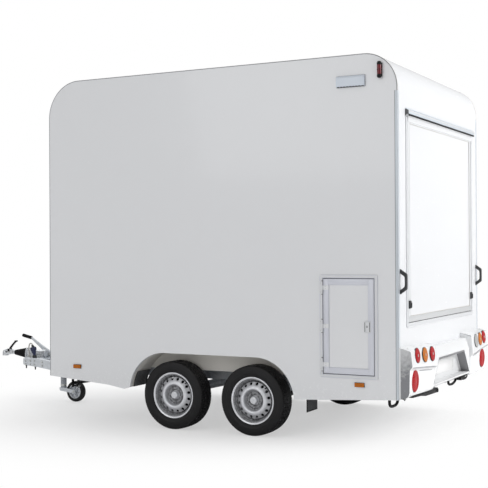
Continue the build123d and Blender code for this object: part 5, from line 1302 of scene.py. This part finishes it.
def addHousing():
    s = housingSet
    z = s["z"]
    bm = bmesh.new()
    profile = [(s["rear"], 0.0), (s["rear"], 0.034), (s["rear"] + 0.004, 0.0385),
               (s["rear"] + 0.030, 0.0385), (s["rear"] + 0.034, s["tube"]), (s["front"] - 0.045, s["tube"]),
               (s["front"] - 0.040, 0.0390), (s["front"], 0.0400)]
    addSpin(bm, profile, (0, 0, z), (1, 0, 0), 56)
    face = [(s["front"], y, h) for y, h in rounded(s["flange"], 0.012, 4)]
    addSlab(bm, face, (0.010, 0, 0), 0.0015)
    for sign in (1, -1):  # cheeks that carry the tube
        points = [(s["rear"] + 0.006, 0.4205), (s["front"] - 0.010, 0.4205), (s["front"] - 0.020, 0.462),
                  (s["front"] - 0.090, 0.448), (s["rear"] + 0.080, 0.448), (s["rear"] + 0.012, 0.462)]
        line = [(x, sign * 0.036, h) for x, h in rounded(points, 0.010)]
        addSlab(bm, line, (0, sign * 0.007, 0), 0.0012)
        addBox(bm, (s["rear"] + 0.008, sign * 0.036, 0.4205), (s["front"] - 0.012, sign * 0.074, 0.4275),
               0.0014)
    addPiece("overrun_tube", bm, "jockey_silver", replaced="overrun_housing")
    bm = bmesh.new()
    for x in (s["rear"] + 0.040, s["rear"] + 0.130, s["front"] - 0.040):
        for sign in (1, -1):
            addBolt(bm, (x, sign * 0.061, 0.4270), (0, 0, 1), 0.017, 0.011, 0.0125)
            addBolt(bm, (x, sign * 0.0428, 0.4340), (0, sign, 0), 0.013, 0.006, 0.0085)
    for x in (s["rear"] + 0.018, s["front"] - 0.022):  # grease nipples
        addSpin(bm, s["nipple"], (x, 0, z + 0.0375), (0, 0, 1), 16)
    for y, h in ((0.036, 0.436), (-0.036, 0.436), (0.026, 0.494), (-0.026, 0.494)):
        addBolt(bm, (s["front"] + 0.0095, y, h), (1, 0, 0), 0.012, 0.0045, 0.0078)
    addPiece("overrun_bolts", bm, "zinc_head")
    bm = bmesh.new()  # bellows
    (rear, front), folds = s["bellows"], s["folds"]
    profile = [(rear, 0.0455), (rear + 0.004, 0.0520), (rear + 0.012, 0.0520)]
    for i in range(folds):
        x = rear + 0.016 + (front - rear - 0.030) * i / folds
        step = (front - rear - 0.030) / folds
        radius = 0.0495 - 0.0245 * (i + 0.5) / folds
        profile += [(x, radius - 0.0048), (x + step * 0.30, radius + 0.0026),
                    (x + step * 0.50, radius + 0.0036), (x + step * 0.70, radius + 0.0026)]
    profile += [(front - 0.013, 0.0222), (front - 0.010, 0.0262), (front - 0.002, 0.0262), (front, 0.0235),
                (front, 0.0)]
    addSpin(bm, rounded(profile, 0.0020, 2, False), (0, 0, z - 0.004), (1, 0, 0), 56)
    addPiece("bellows_pleats", bm, "black_rubber", angle=50, replaced="bellows")


headSet = {"x": 2.4055, "z": 0.452, "radius": 0.0325, "neck": [(2.395, 0.0265, 0.434, 0.486),
                                                               (2.372, 0.0250, 0.432, 0.492),
                                                               (2.345, 0.0220, 0.434, 0.494),
                                                               (2.315, 0.0205, 0.438, 0.486),
                                                               (2.290, 0.0200, 0.440, 0.478),
                                                               (2.266, 0.0195, 0.441, 0.475)],
           "lever": [(2.352, 0.478, 0.010, 0.0105), (2.338, 0.506, 0.0115, 0.0085),
                     (2.312, 0.534, 0.0115, 0.0070), (2.284, 0.561, 0.0125, 0.0065),
                     (2.266, 0.576, 0.0135, 0.0070)]}


# one section of a flat bar that runs in the XZ plane
def strapRing(x, z, run, middleY, wide, thick, radius):
    side = Vector((-run.y, run.x)) * thick
    corners = [(x + side.x, middleY - wide, z + side.y), (x + side.x, middleY + wide, z + side.y),
               (x - side.x, middleY + wide, z - side.y), (x - side.x, middleY - wide, z - side.y)]
    return rounded(corners, radius)


def addHead():
    s = headSet
    bm = bmesh.new()
    dome = [(-0.030, 0.0310), (-0.030, 0.0338), (-0.024, 0.0338), (-0.020, s["radius"])]
    dome += [(h, r) for r, h in arc((0, 0), s["radius"], 0, 84, 7)] + [(s["radius"], 0.0)]
    addSpin(bm, dome, (s["x"], 0, s["z"]), (0, 0, 1), 48)
    addSpin(bm, [(-0.030, 0.0310), (-0.010, 0.0270), (0.0, 0.0255), (0.012, 0.0220), (0.022, 0.0)],
            (s["x"], 0, s["z"]), (0, 0, 1), 48)
    addLoft(bm, [[(x, y, h) for y, h in rounded([(-half, low), (half, low), (half, high), (-half, high)],
                                                0.011, 4)] for x, half, low, high in s["neck"]])
    addPiece("coupling_cast", bm, "jockey_silver", angle=42, replaced="coupling_head")
    bm = bmesh.new()
    for x in (2.300, 2.345):
        for sign in (1, -1):
            addBolt(bm, (x, sign * 0.0205, 0.459), (0, sign, 0), 0.015, 0.007, 0.0105)
    addPiece("coupling_bolts", bm, "zinc_head")
    bm = bmesh.new()  # latch lever with its cheeks and the wear gauge
    rings = []
    lever = [Vector(row[:2]) for row in s["lever"]]
    for i, (x, z, wide, thick) in enumerate(s["lever"]):
        run = (lever[min(i + 1, len(lever) - 1)] - lever[max(i - 1, 0)]).normalized()
        rings.append(strapRing(x, z, run, 0, wide, thick, 0.0040))
    addLoft(bm, rings)
    addRod(bm, (2.268, -0.020, 0.5740), (2.268, 0.020, 0.5740), 0.0080, None, 24, 0.002)
    for sign in (1, -1):
        addBox(bm, (2.338, sign * 0.0195, 0.455), (2.364, sign * 0.0245, 0.494), 0.002)
    addBox(bm, (2.370, 0.0235, 0.452), (2.390, 0.0262, 0.470), 0.0015)
    addPiece("latch_lever", bm, "black_steel", replaced="tow_lever")


brakeSet = {"y": -0.064, "tip": (2.230, 0.6345), "elbow": (2.112, 0.609), "base": (1.868, 0.446),
            "grip": 0.0172, "arm": [(0.0, 0.0105, 0.0085), (0.12, 0.0115, 0.0085), (0.5, 0.016, 0.0105),
                                    (0.8, 0.023, 0.0125), (1.0, 0.029, 0.0135)],
            "quadrant": [(1.800, 0.4210), (1.925, 0.4210), (1.930, 0.4420), (1.905, 0.4760),
                         (1.868, 0.4880), (1.830, 0.4760), (1.802, 0.4460)]}


def addBrake():
    s = brakeSet
    y = s["y"]
    bm = bmesh.new()
    bend, foot = Vector(s["elbow"]), Vector(s["base"])
    run = (foot - bend).normalized()
    addLoft(bm, [strapRing(*bend.lerp(foot, share), run, y, wide, tall, 0.0035) for share, tall,
                 wide in s["arm"]])
    tip, elbow = Vector((s["tip"][0], y, s["tip"][1])), Vector((s["elbow"][0], y, s["elbow"][1]))
    addRod(bm, elbow + (elbow - tip) * 0.04, elbow.lerp(tip, 0.5), 0.0105, None, 24)
    for sign in (1, -1):  # quadrant plates at the foot
        line = [(x, y + sign * 0.0150, z) for x, z in rounded(s["quadrant"], 0.012)]
        addSlab(bm, line, (0, sign * 0.004, 0), 0.0008)
    addRod(bm, (1.802, y, 0.4330), (1.700, y, 0.4190), 0.0125, None, 24, 0.002)  # spring store
    addRod(bm, (1.705, y, 0.4190), (1.640, y, 0.4100), 0.0050, None, 16)
    addPiece("brake_arm", bm, "galvanised_lit", replaced="brake_lever")
    bm = bmesh.new()
    addBolt(bm, (1.868, y + 0.0188, 0.446), (0, 1, 0), 0.019, 0.009, 0.0135)
    addBolt(bm, (1.868, y - 0.0188, 0.446), (0, -1, 0), 0.019, 0.009, 0.0135)
    addPiece("brake_bolts", bm, "zinc_head")
    bm = bmesh.new()
    run = tip - elbow
    length, r = run.length, s["grip"]
    profile = [(0.0, 0.0112), (0.0015, r * 0.93), (0.005, r)]
    for i in range(9):
        at = 0.012 + (length - 0.030) * i / 8
        profile += [(at - 0.0032, r), (at - 0.0022, r - 0.0016), (at + 0.0022, r - 0.0016),
                    (at + 0.0032, r)]
    profile += [(length - 0.007, r), (length - 0.002, r * 0.86), (length, r * 0.55), (length + 0.0008, 0.0)]
    addSpin(bm, profile, elbow, run, 40)
    addPiece("brake_grip_rubber", bm, "black_rubber", angle=40, replaced="brake_grip")


plugSet = {"tip": (1.928, 0.118, 0.444), "top": (1.950, 0.118, 0.534),
           "profile": [(0.0, 0.0), (0.0, 0.0105), (0.003, 0.0130), (0.020, 0.0165), (0.034, 0.0195),
                       (0.036, 0.0228), (0.046, 0.0252), (0.048, 0.0238), (0.056, 0.0250), (0.058, 0.0285),
                       (0.085, 0.0302), (0.0900, 0.0290), (0.0920, 0.0255), (0.0920, 0.0)]}


def addPlug():
    s = plugSet
    tip, top = Vector(s["tip"]), Vector(s["top"])
    run = (top - tip).normalized()
    bm = bmesh.new()
    addSpin(bm, s["profile"], tip, run, 40)
    for i in range(10):  # finger ribs
        angle = math.tau * i / 10
        side = run.orthogonal().normalized()
        side.rotate(Matrix.Rotation(angle, 3, run))
        addRod(bm, tip + run * 0.060 + side * 0.0290, tip + run * 0.084 + side * 0.0304, 0.0022, None, 8)
    addPiece("plug_shell", bm, "plug_blue", angle=40, replaced="trailer_plug")
    bm = bmesh.new()
    gland = tip + run * 0.0915
    lean = (run + Vector((0.25, 0, 0))).normalized()
    addSpin(bm, [(-0.001, 0.0180), (0.004, 0.0180), (0.006, 0.0140), (0.016, 0.0125), (0.024, 0.0095),
                 (0.026, 0.0066), (0.026, 0.0)], gland, lean, 28)
    addBox(bm, (1.914, 0.100, 0.4180), (1.944, 0.136, 0.4520), 0.003)  # the parking socket on the drawbar
    addPiece("plug_gland", bm, "black_plastic")
    bm = bmesh.new()
    start = gland + lean * 0.022
    points = [start, start + Vector((0.006, 0, 0.016)), (1.994, 0.113, 0.572), (2.014, 0.108, 0.530),
              (2.012, 0.103, 0.470), (2.000, 0.098, 0.418)]
    addTube(bm, points, 0.0062, 0.45, 6, 14, (0, 1, 0.02))
    addPiece("plug_lead", bm, "pale_seal", angle=60, replaced="tow_lead")


jockeySet = {"axle": (1.4597, 0.05, 0.104), "radius": 0.104, "half": 0.029, "rim": 0.072,
             "head": (1.6147, 0.05)}


def addJockey():
    s = jockeySet
    axle = Vector(s["axle"])
    r, half = s["radius"], s["half"]
    bm = bmesh.new()
    side = [(half - 0.006, s["rim"] - 0.002), (half - 0.002, s["rim"] + 0.003), (half, s["rim"] + 0.009),
            (half, r - 0.016), (half - 0.0015, r - 0.009), (half - 0.006, r - 0.0035),
            (half - 0.013, r - 0.0008)]
    profile = side + [(0.008, r), (-0.008, r)] + [(-a, b) for a, b in reversed(side)]
    addSpin(bm, profile, axle, (0, 1, 0), 96)
    addPiece("jockey_solid_tyre", bm, "tyre", "jockey_wheel", angle=40, replaced="jockey_tyre")
    bm = bmesh.new()
    dish = [(half - 0.0065, s["rim"] - 0.0025), (half - 0.003, s["rim"] - 0.001),
            (half - 0.001, s["rim"] - 0.004), (half - 0.002, s["rim"] - 0.0085),
            (half - 0.012, s["rim"] - 0.0105), (half - 0.0215, s["rim"] - 0.013), (half - 0.0215, 0.026),
            (half - 0.010, 0.0225), (half - 0.002, 0.0215), (half - 0.001, 0.0190), (half - 0.001, 0.0)]
    for sign in (1, -1):
        addSpin(bm, [(sign * a, b) for a, b in dish], axle, (0, 1, 0), 96)
        for i in range(6):
            turn = math.tau * (i + 0.25) / 6
            for shift in (-0.0045, 0.0045):
                place = Matrix.Translation(axle) @ Matrix.Rotation(turn, 4, "Y")
                verts = addBox(bm, (shift - 0.0017, sign * 0.006, 0.020),
                               (shift + 0.0017, sign * (half - 0.0040), s["rim"] - 0.0088))
                bmesh.ops.transform(bm, matrix=place, verts=verts)
    addPiece("jockey_steel_rim", bm, "jockey_silver", "jockey_wheel", replaced="jockey_rim")
    bm = bmesh.new()
    x, y = s["head"]
    for sign in (1, -1):
        points = [(x + 0.024, 0.1365), (x - 0.030, 0.1365), (axle.x + 0.008, 0.1235),
                  (axle.x - 0.015, 0.1180), (axle.x - 0.020, 0.1010), (axle.x - 0.010, 0.0850),
                  (axle.x + 0.012, 0.0840), (x - 0.040, 0.0990), (x + 0.018, 0.1060)]
        line = [(a, y + sign * 0.0375, b) for a, b in rounded(points, 0.008)]
        addSlab(bm, line, (0, sign * 0.0052, 0), 0.0010)
    addBox(bm, (x - 0.026, y - 0.0390, 0.1308), (x + 0.024, y + 0.0390, 0.1365), 0.0012)
    addSpin(bm, [(0.0, 0.0295), (0.006, 0.0295), (0.009, 0.0262), (0.0135, 0.0262)], (x, y, 0.123),
            (0, 0, 1), 40)
    addPiece("jockey_fork_plates", bm, "galvanised_lit", "jockey_swivel", replaced="jockey_fork")
    bm = bmesh.new()
    for sign in (1, -1):
        addBolt(bm, (axle.x, y + sign * 0.0424, axle.z), (0, sign, 0), 0.017, 0.009, 0.0130)
    addPiece("jockey_axle_nuts", bm, "zinc_head", "jockey_swivel")
    bm = bmesh.new()  # collars on the leg
    for z, outer, tall in ((0.150, 0.0315, 0.020), (0.640, 0.0318, 0.012), (0.682, 0.0330, 0.009)):
        addSpin(bm, [(-0.0012, 0.0300), (0.0, outer), (tall, outer), (tall + 0.0012, 0.0300)], (x, y, z),
                (0, 0, 1), 40)
    addPiece("jockey_leg_collars", bm, "zinc_head", "jockey_slide")


addDrawbar()
addHousing()
addHead()
addBrake()
addPlug()
addJockey()
print("stage: drawbar and coupling")

# under the body: steadies, rear bars and towing eye, stone guards, cables, flaps
steadySet = {"outer": 0.845, "inner": {"rear": 0.238, "front": 0.268}, "pins": (0.62, 0.50), "pivotY": 0.83}


def addSteadies():
    s = steadySet
    for end in ("rear", "front"):
        for side, sign in sides:
            node = f"steady_{end}_{side}"
            low, high = box(node)
            x = (low.x + high.x) / 2
            outer, inner = s["outer"] * sign, s["inner"][end] * sign
            top = high.z - 0.001
            bottom = low.z + 0.027
            bm = bmesh.new()
            for edge in (-1, 1):
                points = [(outer, top), (outer, top - 0.020), (sign * 0.70, bottom + 0.006),
                          (sign * 0.38, bottom), (inner, top - 0.016), (inner, top)]
                line = [(x + edge * 0.0260, y, z) for y, z in rounded(points, 0.010)]
                addSlab(bm, line, (edge * 0.004, 0, 0), 0.0008)
            addBox(bm, (x - 0.030, outer - sign * 0.030, top - 0.005), (x + 0.030, inner, top - 0.0005),
                   0.0015)
            for y in s["pins"]:
                addRod(bm, (x - 0.031, sign * y, top - 0.020), (x + 0.031, sign * y, top - 0.020), 0.006,
                       None, 16, 0.001)
            addBox(bm, (x - 0.035, inner - sign * 0.004, bottom + 0.002),
                   (x + 0.035, inner + sign * 0.052, bottom + 0.008), 0.0025, 3)
            addPiece(f"folded_{node}", bm, "black_steel", f"{node}_leg", replaced=node)
            bm = bmesh.new()
            for edge in (-1, 1):
                addBolt(bm, (x + edge * 0.0335, sign * s["pivotY"],
                             top - 0.040 if end == "front" else 0.352), (edge, 0, 0), 0.017, 0.008, 0.0120)
            addPiece(f"pivot_bolts_{end}_{side}", bm, "zinc_head")


gearSet = {"barX": -2.376, "loopX": -2.2233, "loop": [(1.055, 0.4010), (1.055, 0.3120), (0.870, 0.3120),
                                                      (0.870, 0.4010)], "eyeX": -2.330,
           "eye": [(-0.110, 0.4040), (-0.120, 0.3560), (-0.230, 0.3480), (-0.320, 0.3660),
                   (-0.345, 0.4040)]}


def addRearGear():  # bars, corner loops and the towing eye behind the moulding's lower edge
    s = gearSet
    x = s["loopX"]
    bm = bmesh.new()
    for sign in (1, -1):
        reach, lift = (1.0, 0.0) if sign > 0 else (0.62, 0.022)
        points = [(0.955 * reach, 0.3890), (0.960 * reach, 0.3800), (0.760 * reach, 0.3720),
                  (0.560 * reach + 0.07, 0.3560)]
        points = rounded(points + [(0.345, 0.3500), (0.315, 0.3600), (0.320, 0.3890)], 0.012)
        line = [(s["barX"], sign * y, z + lift) for y, z in points]
        addSlab(bm, line, (0.036, 0, 0), 0.0020)
        addRod(bm, (-2.382, sign * 0.338, 0.3660 + lift), (-2.334, sign * 0.338, 0.3660 + lift), 0.0160,
               None, 32, 0.003)
        addSweep(bm, soften([(x, sign * y, z) for y, z in s["loop"]], 0.42, 6), circle(0.0115, 16),
                 (1, 0, 0))
        addBox(bm, (x - 0.018, sign * 0.850, 0.3975), (x + 0.018, sign * 1.072, 0.4040), 0.002)
    addSweep(bm, soften([(s["eyeX"], y, z) for y, z in s["eye"]], 0.42, 6), circle(0.0105, 16), (1, 0, 0))
    addPiece("rear_under_gear", bm, "black_steel")


def addFlaps():
    low, high = box("mud_flaps")
    bm, ribs = bmesh.new(), bmesh.new()
    for sign in (1, -1):
        inner, outer = sorted((sign * 0.850, sign * (high.y - 0.002)))
        addBox(bm, (low.x + 0.002, inner, low.z), (high.x - 0.002, outer, high.z), 0.0016)
        # ribs in a lighter grey than the rubber flap: a painted highlight
        for i in range(12):
            y = inner + 0.016 + (outer - inner - 0.032) * i / 11
            addBox(ribs, (low.x - 0.0022, y - 0.0022, low.z + 0.012),
                   (low.x + 0.0026, y + 0.0022, high.z - 0.024), 0.0016)
        addBox(bm, (low.x - 0.003, inner + 0.004, high.z - 0.018),
               (low.x + 0.003, outer - 0.004, high.z - 0.002), 0.001)
    addPiece("flap_ribs_painted_highlight", ribs, "cap_grey")
    addPiece("ribbed_flaps", bm, "black_rubber", replaced="mud_flaps")


guardSet = {"x": -0.2323, "z": 0.305, "radius": 0.3415, "thick": 0.004, "ribRise": 0.003,
            "turn": (6.5, 30.0), "inner": 0.850, "outer": 1.050, "ribs": 9}


def addGuard(name, finish, radius, thick, spans):
    s = guardSet
    line = arc((s["x"], s["z"]), radius, *s["turn"], 10) + arc((s["x"], s["z"]), radius - thick, *s["turn"],
                                                               10)[::-1]
    bm = bmesh.new()
    for sign in (1, -1):
        for low, high in spans:
            addSlab(bm, [(x, sign * low, z) for x, z in line], (0, sign * (high - low), 0), 0.0008)
    addPiece(name, bm, finish)


def addGuards():  # ribbed stone guards on the front ends of the wheel arches; their ribs are a lighter grey, a painted highlight
    s = guardSet
    step = (s["outer"] - s["inner"]) / s["ribs"]
    addGuard("arch_guards", "black_plastic", s["radius"], s["thick"], [(s["inner"], s["outer"])])
    addGuard("guard_ribs_painted_highlight", "cap_grey", s["radius"] - s["ribRise"], s["thick"] + s["ribRise"],
             [(s["inner"] + step * (i + 0.3), s["inner"] + step * (i + 0.7)) for i in range(s["ribs"])])


cableSet = {"radius": 0.0030, "line": [(-0.340, 0.600, 0.318), (-0.500, 0.845, 0.330),
                                       (-0.660, 0.845, 0.368), (-0.820, 0.845, 0.402),
                                       (-0.900, 0.700, 0.402)]}


def addCables():  # brake cables between the axles, on the inner side of the wheels
    bm = bmesh.new()
    for sign in (1, -1):
        points = [(x, sign * y, z) for x, y, z in cableSet["line"]]
        addTube(bm, points, cableSet["radius"], 0.3, 5, 10, (0, 0.03, 1))
    addPiece("brake_cables", bm, "zinc_head", angle=60)


addSteadies()
addRearGear()
addGuards()
addCables()
addFlaps()
print("stage: under the body")
